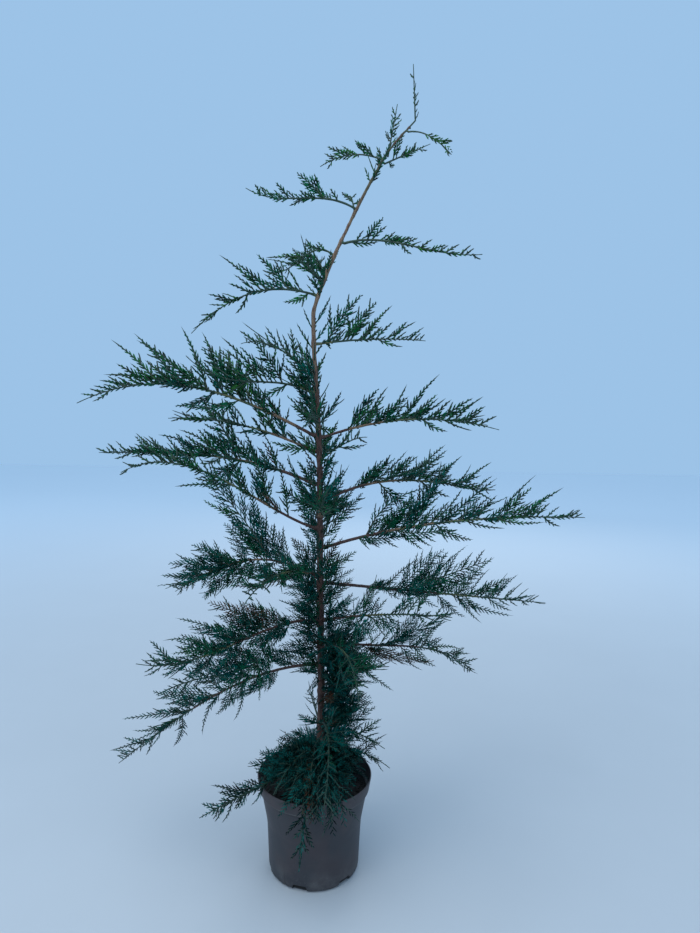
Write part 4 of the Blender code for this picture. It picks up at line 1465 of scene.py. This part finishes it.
def feathers(stem, line):
    """Stretches of the bough itself that bear twigs, from part of the way to its tip."""
    whole = sum((b - a).length for a, b in zip(line, line[1:]))
    rng = random.Random(stem.name + " feathers")
    start = whole * FEATHER_FROM
    while start < whole - FINE_LEAST / 2:
        length = min(FEATHER_LENGTH, whole - start)
        root, opening, share = point_along(line, start)
        closing = point_along(line, start + length * FEATHER_ENDS)[1]
        roll = math.radians(rng.uniform(-FEATHER_ROLL, FEATHER_ROLL))
        across = width_way(opening, stem.heading + UP * FEATHER_LIFT, roll)
        vigour = TIP_VIGOUR if start + length >= whole else FEATHER_VIGOUR
        yield Spray(root, opening, closing, across, length, FEATHER_RADIUS, share, stem, vigour)
        start += length * FEATHER_OVERLAP


print("Gap between fine sprays:", FINE_GAP * 1000, "mm")

# %% [markdown]
# The longest sprays branch once more before they bear twigs. Their side sprays alternate in the
# spray's own plane, shorter towards its tip, which is what makes a cypress frond lie flat.

# %% Side sprays
SIDE_SPRAY_FROM = 0.058
SIDE_SPRAY_GAP = 0.0125
SIDE_SPRAY_BARE = 0.12
SIDE_SPRAY_JITTER = (0.3, 0.7)
SIDE_SPRAY_REACH = 0.72
SIDE_SPRAY_LENGTH = 0.46
SIDE_SPRAY_SHRINK = 0.75
SIDE_SPRAY_SPREAD = (0.75, 1.2)
SIDE_SPRAY_TILT = 0.22
SIDE_SPRAY_LIFT = 0.12
SIDE_SPRAY_THIN = 0.7
SIDE_SPRAY_VIGOUR = 0.9
SIDE_SPRAY_LEAST = 0.020
SIDE_SPRAY_ANGLES = (math.radians(44), math.radians(24))


def side_sprays(spray, rng):
    """A long spray bears smaller ones, which alternate in its own plane."""
    if spray.length < SIDE_SPRAY_FROM:
        return
    count = int(spray.length * SIDE_SPRAY_REACH / SIDE_SPRAY_GAP)
    for i in range(count):
        reach = SIDE_SPRAY_BARE + SIDE_SPRAY_REACH * (i + rng.uniform(*SIDE_SPRAY_JITTER)) / count
        course = spray.opening.lerp(spray.closing, reach / 2).normalized()
        root = spray.root + course * spray.length * reach
        ahead = spray.opening.lerp(spray.closing, reach).normalized()
        across = (spray.across - ahead * ahead.dot(spray.across)).normalized()
        lifted = across * (1 if i % 2 else -1)
        lifted += ahead.cross(across) * rng.gauss(0, SIDE_SPRAY_TILT)
        wide, narrow = SIDE_SPRAY_ANGLES
        opening = ahead * math.cos(wide) + lifted * math.sin(wide)
        closing = ahead * math.cos(narrow) + lifted * math.sin(narrow) + UP * SIDE_SPRAY_LIFT
        length = spray.length * SIDE_SPRAY_LENGTH * (1 - SIDE_SPRAY_SHRINK * reach)
        length *= rng.uniform(*SIDE_SPRAY_SPREAD)
        length *= spray.vigour
        if length > SIDE_SPRAY_LEAST:
            yield spray._replace(root=root, opening=opening.normalized(), across=across,
                                 closing=closing.normalized(), length=length,
                                 radius=spray.radius * SIDE_SPRAY_THIN,
                                 vigour=SIDE_SPRAY_VIGOUR)


print("Sprays branch once more from a length of", SIDE_SPRAY_FROM * 1000, "mm")

# %% [markdown]
# The trunk bears short sprays of its own, in bands: a mound that spreads over the compost and
# hangs over the rim, a dense column above it, and upright tufts higher up. Each band has its
# heights, the number and the length of its sprays, the sector they fill and how they bend.

# %% Sprays on the trunk
Band = namedtuple("Band", "low high count short long sector rise fall group")
BANDS = (
    Band(0.166, 0.205, 54, 0.060, 0.092, (150, 390), 0.30, -0.22, "front_7"),
    Band(0.172, 0.215, 60, 0.055, 0.088, (0, 360), 0.60, -0.25, "front_7"),
    Band(0.186, 0.232, 60, 0.065, 0.100, (0, 360), 0.25, -0.50, "back_7"),
    Band(0.190, 0.230, 11, 0.135, 0.205, (256, 288), 0.70, -1.90, "front_7"),
    Band(0.235, 0.420, 66, 0.060, 0.112, (-80, 65), 0.60, 0.00, "right_11"),
    Band(0.350, 0.520, 30, 0.055, 0.100, (105, 260), 0.60, -0.10, "left_11"),
    Band(0.420, 0.560, 36, 0.050, 0.090, (0, 360), 0.85, 0.60, "left_10"),
    Band(0.560, 0.760, 36, 0.040, 0.075, (0, 360), 1.10, 1.40, "right_5"),
    Band(0.760, 0.980, 22, 0.030, 0.060, (0, 360), 1.30, 2.20, "left_5"),
    Band(0.790, 0.900, 20, 0.050, 0.085, (95, 275), 1.00, 1.00, "left_5"),
    Band(1.020, 1.064, 14, 0.030, 0.052, (60, 300), 0.90, 1.20, "left_3"),
    Band(1.204, 1.250, 11, 0.022, 0.038, (0, 360), 1.60, 2.20, "top_4"),
)
GOLDEN_ANGLE = 137.5
BAND_JITTER = 20
BAND_RISE_SPREAD = (0.6, 1.4)
BAND_FALL_SPREAD = 0.25
BAND_ROLL = 70
ROOT_DEPTH = 0.7
BAND_PROBES = (0.3, 0.6, 0.8, 1)
TRUNK_SPRAY_RADIUS = 0.0008


def band_sprays(band):
    rng = random.Random(f"band {band.low}")
    stem = next(stem for stem in stems if stem.name == band.group)
    first, last = band.sector
    for i in range(band.count):
        height = band.low + (band.high - band.low) * (i + rng.random()) / band.count
        middle, ahead, radius = trunk_at(trunk, height)
        turn = (GOLDEN_ANGLE * i + rng.uniform(-BAND_JITTER, BAND_JITTER)) % 360
        turn = first + turn * (last - first) / 360
        out = Vector((math.cos(math.radians(turn)), math.sin(math.radians(turn)), 0))
        length = rng.uniform(band.short, band.long)
        opening = (out + UP * band.rise * rng.uniform(*BAND_RISE_SPREAD)).normalized()
        fall = band.fall + rng.uniform(-BAND_FALL_SPREAD, BAND_FALL_SPREAD)
        closing = (out + UP * fall).normalized()
        across = width_way(opening, UP, math.radians(rng.uniform(-BAND_ROLL, BAND_ROLL)))
        root = middle + out * radius * ROOT_DEPTH
        far = [root + (opening * (2 - reach) + closing * reach) * length * reach / 2
               for reach in BAND_PROBES]
        if all(clear_of_pot(place) for place in far):
            yield Spray(root, opening, closing, across, length, TRUNK_SPRAY_RADIUS, 0, stem)


def all_sprays():
    grown, bare_axes = [], []
    for stem in stems:
        space = Space(stem)
        line = fine_line_of(stem)
        tree = tree_of([line])
        main = list(shoots_of(stem, space))
        bare = habit_of(stem).bare
        taken = [distance for distance, _ in main]
        own = [spray for _, spray in main] + list(fine_sprays(stem, space, taken))
        grown += [in_habit(seated(spray, tree)) for spray in own if spray.share >= bare]
        grown += long_strands(stem, line)
        bare_axes += [in_habit(spray) for spray in feathers(stem, line)]
    for band in BANDS:
        grown += band_sprays(band)
    rng = random.Random("side sprays")
    for spray in list(grown):
        grown += side_sprays(spray, rng)
    return grown, bare_axes


grown_sprays, bough_feathers = all_sprays()
sprays = grown_sprays + bough_feathers
print("Sprays:", len(grown_sprays), "feathered stretches of bough:", len(bough_feathers))

# %% [markdown]
# A spray is a feather of three orders: a thin axis, side twigs that alternate along it in one
# plane, and on the longer of these a last order of branchlets. An order is one row of shares,
# lengths and angles. Growth changes with height: in the old foliage low down the twigs are
# finer, and stand closer together and at wider angles. In the newest growth they are longer.

# %% Orders of twigs
Twigs = namedtuple("Twigs", "line length across width spray vigour")
Order = namedtuple("Order", "bare gap_least gap_share longest shortest opening closing tilt "
                            "lift width knots")
SIDE_TWIGS = Order(0.05, 0.0046, 0.042, 0.34, 0.0036, 30, 19, 7, 0.03, 0.00165, 3)
BRANCHLETS = Order(0.16, 0.0048, 0.170, 0.48, 0.0036, 26, 17, 7, 0.02, 0.00150, 2)
SPRAY_KNOTS = 7
GROWTH_SEED = 20
EARLY_KNOTS = {7: 0.75, 3: 0.45, 2: 1}
FULL_WIDTH_FROM = 0.012
LEAST_WIDTH = 0.55
YOUNG_CLOSER = 0.15
YOUNG_LONGER = 0.30
YOUNG_FINER = 0.12
YOUNG_WIDER = 0.15
YOUNG_AXIS = -0.12
OLD_GROWTH = (0.50, 0.80)
OLD_CLOSER = 0.34
OLD_FINER = 0.38
OLD_WIDER = 0.45
OLD_AXIS = -0.45
OUTER_STOUTER = 0.6
TWIG_LEAST_FOR_BRANCHLETS = 0.0100
AXIS_LEAST = 0.0015
TWIG_JITTER = (0.3, 0.7)
TWIG_TURN_SPREAD = (0.88, 1.12)
TWIG_LENGTH_SPREAD = (0.82, 1.15)
LAST_TWIG = 0.97
SHORTEST_AT_FOOT = 0.55
LENGTHENING = 2.2
SHORTENING = 0.92
print("Side twigs bend from", SIDE_TWIGS.opening, "to", SIDE_TWIGS.closing, "degrees")

# %% [markdown]
# There are many thousands of twigs, so each order is one set of arrays. A line bends evenly
# from the direction in which it leaves to the one in which it ends, and all lines of an order
# are worked out at once.

# %% Lines in arrays
def age_of(heights):
    """1 in the fine old foliage low down and 0 in the stout strands higher up."""
    return np.clip((OLD_GROWTH[1] - heights) / np.ptp(OLD_GROWTH), 0, 1)


def unit(vectors):
    return vectors / np.linalg.norm(vectors, axis=-1, keepdims=True)


def dot(a, b):
    return (a * b).sum(-1, keepdims=True)


def stations(knots):
    """Where the knots stand along a line, nearer together towards its tip."""
    return np.linspace(0, 1, knots) ** EARLY_KNOTS[knots]


def bent_lines(roots, opening, closing, lengths, knots):
    """Lines that leave along opening and bend towards closing, as an array of points."""
    shares = stations(knots)
    mids = ((shares[1:] + shares[:-1]) / 2)[None, :, None]
    course = unit(opening[:, None] * (1 - mids) + closing[:, None] * mids)
    steps = course * lengths[:, None, None] * np.diff(shares)[None, :, None]
    along = np.concatenate([np.zeros_like(steps[:, :1]), np.cumsum(steps, axis=1)], axis=1)
    return roots[:, None] + along


def on_lines(twigs, chosen, shares):
    """Places and directions at shares of the way along chosen twigs."""
    marks = stations(twigs.line.shape[1])
    low = np.clip(np.searchsorted(marks, shares, side="right") - 1, 0, len(marks) - 2)
    start = twigs.line[chosen, low]
    step = twigs.line[chosen, low + 1] - start
    part = (shares - marks[low]) / (marks[low + 1] - marks[low])
    return start + step * part[:, None], unit(step)


print("Shares at which an axis has its knots:", stations(SPRAY_KNOTS).round(2))

# %% [markdown]
# One function grows any order from the one before: where each twig starts, how it bends, how
# long it is and which way its flat side faces.

# %% From one order to the next
def envelope(shares):
    """Side twigs lengthen quickly from the foot, then shorten evenly to the tip."""
    rising = np.minimum(1, SHORTEST_AT_FOOT + LENGTHENING * shares)
    return rising * (1 - SHORTENING * shares)


def of_sprays(field):
    """One value of every spray, as an array."""
    return np.array([getattr(spray, field) for spray in sprays])


def side_twigs(parents, order, rng):
    """The next order: twigs that alternate along every parent."""
    youth = np.clip((parents.line[:, 0, 2] - NEW_GROWTH[0]) / np.ptp(NEW_GROWTH), 0, 1)
    gap = np.maximum(order.gap_least, order.gap_share * parents.length)
    outer = of_sprays("share")[parents.spray]
    age = age_of(parents.line[:, 0, 2]) * (1 - OUTER_STOUTER * outer)
    gap *= (1 - YOUNG_CLOSER * youth) * (1 - OLD_CLOSER * age)
    counts = np.maximum(1, parents.length * (1 - order.bare) / gap).astype(int)
    chosen = np.repeat(np.arange(len(counts)), counts)
    rank = np.arange(counts.sum()) - np.repeat(np.cumsum(counts) - counts, counts)
    jitter = rng.uniform(*TWIG_JITTER, len(rank))
    shares = order.bare + (1 - order.bare) * (rank + jitter) / counts[chosen] * LAST_TWIG
    roots, ahead = on_lines(parents, chosen, shares)
    across = parents.across[chosen]
    across = unit(across - ahead * dot(across, ahead))
    normal = np.cross(ahead, across)
    side = np.where(rank % 2, 1.0, -1.0)[:, None]
    tilt = np.radians(rng.normal(0, order.tilt, len(rank)))[:, None]
    out = across * side * np.cos(tilt) + normal * np.sin(tilt)
    spread = rng.uniform(*TWIG_TURN_SPREAD, len(rank))[:, None]
    spread *= (1 + YOUNG_WIDER * youth + OLD_WIDER * age)[chosen][:, None]
    wide, narrow = np.radians(order.opening) * spread, np.radians(order.closing) * spread
    opening = ahead * np.cos(wide) + out * np.sin(wide)
    closing = ahead * np.cos(narrow) + out * np.sin(narrow) + np.array(UP) * order.lift
    lengths = parents.length[chosen] * order.longest * envelope(shares)
    lengths *= parents.vigour[chosen] * (1 + YOUNG_LONGER * youth[chosen])
    lengths *= rng.uniform(*TWIG_LENGTH_SPREAD, len(rank))
    line = bent_lines(roots, opening, closing, lengths, order.knots)
    flat = np.cross(opening, normal)
    width = order.width * (1 - YOUNG_FINER * youth[chosen]) * (1 - OLD_FINER * age[chosen])
    width *= np.minimum(1, LEAST_WIDTH + (1 - LEAST_WIDTH) * lengths / FULL_WIDTH_FROM)
    grown = Twigs(line, lengths, unit(flat), width, parents.spray[chosen], np.ones(len(rank)))
    return chosen_from(grown, lengths > order.shortest * (1 - YOUNG_FINER * youth[chosen]))


def chosen_from(twigs, mask):
    return Twigs(*(values[mask] for values in twigs))


print("Twig lengths at foot, middle and tip:", envelope(np.array((0, 0.5, 1))).round(2))

# %% [markdown]
# The first order is one axis for each spray. Twigs grow from the axes and branchlets from the
# longer twigs, and any that would touch the pot or the compost are left out.

# %% Axes, twigs and branchlets
def off_the_pot(twigs):
    """The twigs that stay clear of the pot, its rim and the compost."""
    x, y, z = np.moveaxis(twigs.line, -1, 0)
    out = np.hypot(x, y)
    mouth = wall_radius(SOIL_TOP) - WALL - WOOD_MARGIN
    above = z > POT_HEIGHT + WOOD_MARGIN
    beside = (out > RIM_RADIUS + WOOD_MARGIN) & (z > WOOD_MARGIN)
    inside = (out < mouth) & (z > SOIL_TOP + WOOD_MARGIN)
    return chosen_from(twigs, (above | beside | inside).all(axis=1))


def spray_axes():
    """The first order: one axis for each spray."""
    roots, lengths = of_sprays("root"), of_sprays("length")
    line = bent_lines(roots, of_sprays("opening"), of_sprays("closing"), lengths, SPRAY_KNOTS)
    youth = np.array([youth_of(spray.root.z) for spray in sprays])
    width = np.maximum(AXIS_LEAST, of_sprays("radius")) * (1 + YOUNG_AXIS * youth)
    inner = 1 - OUTER_STOUTER * of_sprays("share")
    width *= 1 + OLD_AXIS * age_of(roots[:, 2]) * inner
    owner = np.arange(len(sprays))
    return Twigs(line, lengths, of_sprays("across"), width, owner, of_sprays("vigour"))


growth = np.random.default_rng(GROWTH_SEED)
axes = spray_axes()
twigs = off_the_pot(side_twigs(axes, SIDE_TWIGS, growth))
bearing = chosen_from(twigs, twigs.length > TWIG_LEAST_FOR_BRANCHLETS)
branchlets = off_the_pot(side_twigs(bearing, BRANCHLETS, growth))
print("Axes:", len(axes.length), "twigs:", len(twigs.length), "branchlets:", len(branchlets.length))

# %% [markdown]
# Colours are dealt out by spray, from seven plain greens and a brown. Over the compost sprays
# get at random a pale copy, painted lighter as highlight, or a dark copy, painted darker as
# shade; deep and bluish ones stand low down, and fresher ones higher up and at the tips. Each
# has a soft mottle of its own, from very dark to light, which is partly painted shade and
# highlight. The thin axes of the sprays are brown, olive or green.

# %% Greens and stalks
LEAF_LOOKS = (
    ("leaf_deep", (0.0010, 0.0500, 0.0480)),
    ("leaf_sea", (0.0014, 0.0560, 0.0450)),
    ("leaf_mid", (0.0026, 0.0580, 0.0270)),
    ("leaf_fresh", (0.0080, 0.0760, 0.0190)),
    ("leaf_young", (0.0240, 0.1000, 0.0200)),
    ("leaf_dead", (0.0560, 0.0280, 0.0160)),
    # A lighter copy of the low greens: painted highlight.
    ("leaf_pale", (0.0070, 0.0860, 0.0740)),
    # A darker copy of the low greens: painted shade.
    ("leaf_shade", (0.0004, 0.0160, 0.0150)),
)
LEAF_SHINE = 0.02
LEAF_ROUGHNESS = 0.5
LEAF_MOTTLE_SIZE = 0.010
# The mottle's dark and light ends: partly the leaves' own variation, partly painted shade and
# highlight.
LEAF_MOTTLE_AND_PAINTED_LIGHT = (0.22, 1.75)
LEAF_SCALE_SIZE = 0.0009
YOUNG_GREEN, DEAD_BROWN, HIGHLIT_GREEN, SHADED_GREEN = 4, 5, 6, 7
DEAD_SHARE = 0.03
DEAD_INSIDE = 0.25
DEAD_BELOW = 0.75
PALE_BELOW = 0.26
HIGHLIT_SHARE = 0.45
FRESH_AT_GROUND = 0.35
FRESH_PER_METRE = 2.3
FRESH_TOWARDS_TIP = 0.9
FRESH_SPREAD = 0.55


def leaf_finish(name, colour):
    finish = Finish(name, colour, LEAF_ROUGHNESS)
    finish.shader.inputs["Specular IOR Level"].default_value = LEAF_SHINE
    grain = finish.grain(LEAF_MOTTLE_SIZE, 4, rough=0.6)
    # The dark end stands partly for painted shade inside the foliage, the light end partly for
    # painted highlight.
    dark, light = (shade(colour, factor) for factor in LEAF_MOTTLE_AND_PAINTED_LIGHT)
    mottled = finish.mix(grain.between(0.38, 0.62), dark, light)
    scales = finish.grain(LEAF_SCALE_SIZE, 2)
    return finish.finish_with(colour=mottled, roughness=grain * 0.2 + 0.42, bump=scales,
                              bump_height=0.0002)


STALK_LOOKS = (
    ("stalk_brown", (0.046, 0.024, 0.018), (0.024, 0.014, 0.012), 0.75),
    ("stalk_olive", (0.034, 0.046, 0.020), (0.020, 0.032, 0.016), 0.65),
    ("stalk_green", (0.010, 0.040, 0.022), (0.007, 0.028, 0.018), 0.60),
)
LEAVES = [leaf_finish(*look) for look in LEAF_LOOKS]
STALKS = [wood_finish(*look) for look in STALK_LOOKS]


def leaf_kind(spray, rng):
    """Which green a spray gets, from how high it stands and how far out."""
    height = spray.root.z
    if spray.share < DEAD_INSIDE and height < DEAD_BELOW and rng.random() < DEAD_SHARE:
        return DEAD_BROWN
    if height < PALE_BELOW:
        # Low down, a spray gets the painted-highlight copy or the painted-shade copy at random.
        return HIGHLIT_GREEN if rng.random() < HIGHLIT_SHARE else SHADED_GREEN
    freshness = FRESH_AT_GROUND + FRESH_PER_METRE * height + FRESH_TOWARDS_TIP * spray.share
    freshness += rng.gauss(0, FRESH_SPREAD)
    return min(YOUNG_GREEN, max(0, int(freshness)))


print("Leaf colours:", len(LEAVES), "and stalk colours:", len(STALKS))

# %% [markdown]
# Axes and side twigs become slim tubes that end in a point, flatter than they are wide, and the
# last branchlets are spindles of six faces, widest near the middle. One small set of triangles
# is worked out and repeated for all twigs at once. The cap at a tube's foot has points of its
# own, because shared ones would bend the shading there.

# %% Tubes and spindles
AXIS_SIDES = 4
AXIS_FOOT = 1.15
TWIG_SIDES = 3
TWIG_FOOT = 0.9
TUBE_END = 0.62
WAIST = 0.45
FLATNESS = 0.66


def repeated(points, faces):
    """The same triangles for every twig, and which twig each of them belongs to."""
    count, per_twig = points.shape[:2]
    starts = np.arange(count)[:, None, None] * per_twig
    owner = np.repeat(np.arange(count), len(faces))
    return points.reshape(-1, 3), (np.array(faces)[None] + starts).reshape(-1, 3), owner


def tube_arrays(twigs, sides, foot_share):
    """Points and triangles of one tapering tube for each twig, and the twig of each triangle."""
    count, knots = twigs.line.shape[:2]
    ahead = unit(np.gradient(twigs.line, axis=1))
    across = unit(twigs.across[:, None] - ahead * dot(ahead, twigs.across[:, None]))
    normal = np.cross(ahead, across)
    taper = np.linspace(1, TUBE_END, knots)
    taper[0] = foot_share
    radius = twigs.width[:, None, None] * taper[None, :, None]
    rings = []
    for side in range(sides):
        angle = math.tau * side / sides
        offset = across * math.cos(angle) + normal * math.sin(angle) * FLATNESS
        rings.append(twigs.line + offset * radius)
    rings = np.stack(rings, axis=2)[:, :-1]
    body = rings.reshape(count, -1, 3)
    points = np.concatenate([body, twigs.line[:, -1:], rings[:, 0]], axis=1)
    foot = points.shape[1] - sides
    faces = [(foot, foot + side + 1, foot + side) for side in range(1, sides - 1)]
    for knot in range(knots - 2):
        for side in range(sides):
            a = knot * sides + side
            b = knot * sides + (side + 1) % sides
            faces += [(a, b, b + sides), (a, b + sides, a + sides)]
    last = (knots - 2) * sides
    for side in range(sides):
        faces.append((last + side, last + (side + 1) % sides, foot - 1))
    return repeated(points, faces)


def spindle_arrays(twigs):
    """Points and triangles of one three-sided spindle for each of the last branchlets."""
    ahead = unit(twigs.line[:, -1] - twigs.line[:, 0])
    across = unit(twigs.across - ahead * dot(ahead, twigs.across))
    normal = np.cross(ahead, across)
    width = twigs.width[:, None]
    corners = []
    waist = twigs.line[:, 0] * (1 - WAIST) + twigs.line[:, -1] * WAIST
    for side in range(3):
        angle = math.tau * side / 3
        corners.append(waist + across * width * math.cos(angle)
                       + normal * width * math.sin(angle) * FLATNESS)
    corners += [twigs.line[:, -1], twigs.line[:, 0]]
    faces = [(0, 1, 3), (1, 2, 3), (2, 0, 3), (1, 0, 4), (2, 1, 4), (0, 2, 4)]
    return repeated(np.stack(corners, axis=1), faces)


def joined_piece(name, parts, finishes):
    """One object from sets of points, triangles and a finish number for each triangle."""
    points, faces, kinds, count = [], [], [], 0
    for part_points, part_faces, part_kinds in parts:
        points.append(part_points)
        faces.append(part_faces + count)
        kinds.append(part_kinds)
        count += len(part_points)
    mesh = bpy.data.meshes.new(name)
    mesh.from_pydata(np.concatenate(points).tolist(), [], np.concatenate(faces).tolist())
    mesh.polygons.foreach_set("material_index", np.concatenate(kinds).astype(np.int32))
    for finish in finishes:
        mesh.materials.append(finish)
    mesh.shade_smooth()
    made = bpy.data.objects.new(name, mesh)
    bpy.context.scene.collection.objects.link(made)
    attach(made, "root")
    return made


print("Triangles of one branchlet:", 2 * TWIG_SIDES)

# %% [markdown]
# The crown is cut into regions, each with one piece of twigs and one of leaves, which keeps
# every piece well under two hundred thousand triangles.

# %% Regions of the crown
GREENER_PER_METRE = 70
GREEN_OF_SHORTEST = 2.5
BROWNER_PER_METRE = 14
LOW_STALKS_GREENER = 2
REGIONS = {
    "top": ("top_1", "top_2", "top_3", "top_4", "top_5", "leader", "left_1", "left_2", "left_3",
            "right_1", "right_2", "back_1", "front_1"),
    "left_high": ("left_4", "left_5", "left_6", "left_7", "left_8", "left_9"),
    "left_low": ("left_10", "left_11", "left_12", "left_13", "left_14"),
    "right_high": ("right_3", "right_4", "right_5", "right_6"),
    "right_low": ("right_7", "right_8", "right_9", "right_10", "right_11", "right_12"),
    "back": ("back_2", "back_3", "back_4", "back_5", "back_6", "back_7"),
    "front": ("front_2", "front_3", "front_4", "front_5", "front_6", "front_7"),
}


def wood_by_age(stalks, owner):
    """Woods for the faces of each stalk: brown and olive at the foot of a long one, then green."""
    rank = np.arange(len(owner)) % (len(owner) // len(stalks.length))
    gone = rank / rank.max() * stalks.length[owner]
    low = stalks.line[owner, 0, 2] < PALE_BELOW
    youth = gone * GREENER_PER_METRE + GREEN_OF_SHORTEST
    youth -= stalks.length[owner] * BROWNER_PER_METRE
    youth += low * LOW_STALKS_GREENER
    return np.clip(youth, 0, len(STALKS) - 1).astype(int)


def dress_region(name, members, kinds):
    inside = np.array([spray.stem.name in members for spray in sprays])
    nodes = ["foliage_" + member for member in members]
    own_axes = chosen_from(axes, inside[axes.spray] & (axes.spray < len(grown_sprays)))
    own_twigs = chosen_from(twigs, inside[twigs.spray])
    own_branchlets = chosen_from(branchlets, inside[branchlets.spray])
    points, faces, owner = tube_arrays(own_axes, AXIS_SIDES, AXIS_FOOT)
    part = (points, faces, wood_by_age(own_axes, owner))
    stalks = joined_piece("twigs_" + name, [part], STALKS)
    parts = []
    points, faces, owner = tube_arrays(own_twigs, TWIG_SIDES, TWIG_FOOT)
    parts.append((points, faces, kinds[own_twigs.spray[owner]]))
    points, faces, owner = spindle_arrays(own_branchlets)
    parts.append((points, faces, kinds[own_branchlets.spray[owner]]))
    leaves = joined_piece("leaves_" + name, parts, LEAVES)
    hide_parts(*nodes)
    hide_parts(*nodes)
    print(name, "twig faces", len(stalks.data.polygons), "leaf faces", len(leaves.data.polygons))
    return len(stalks.data.polygons) + len(leaves.data.polygons)


def dress_crown():
    rng = random.Random("greens")
    kinds = np.array([leaf_kind(spray, rng) for spray in sprays])
    total = sum(dress_region(name, members, kinds) for name, members in REGIONS.items())
    print("Faces in the crown:", total)


dress_crown()
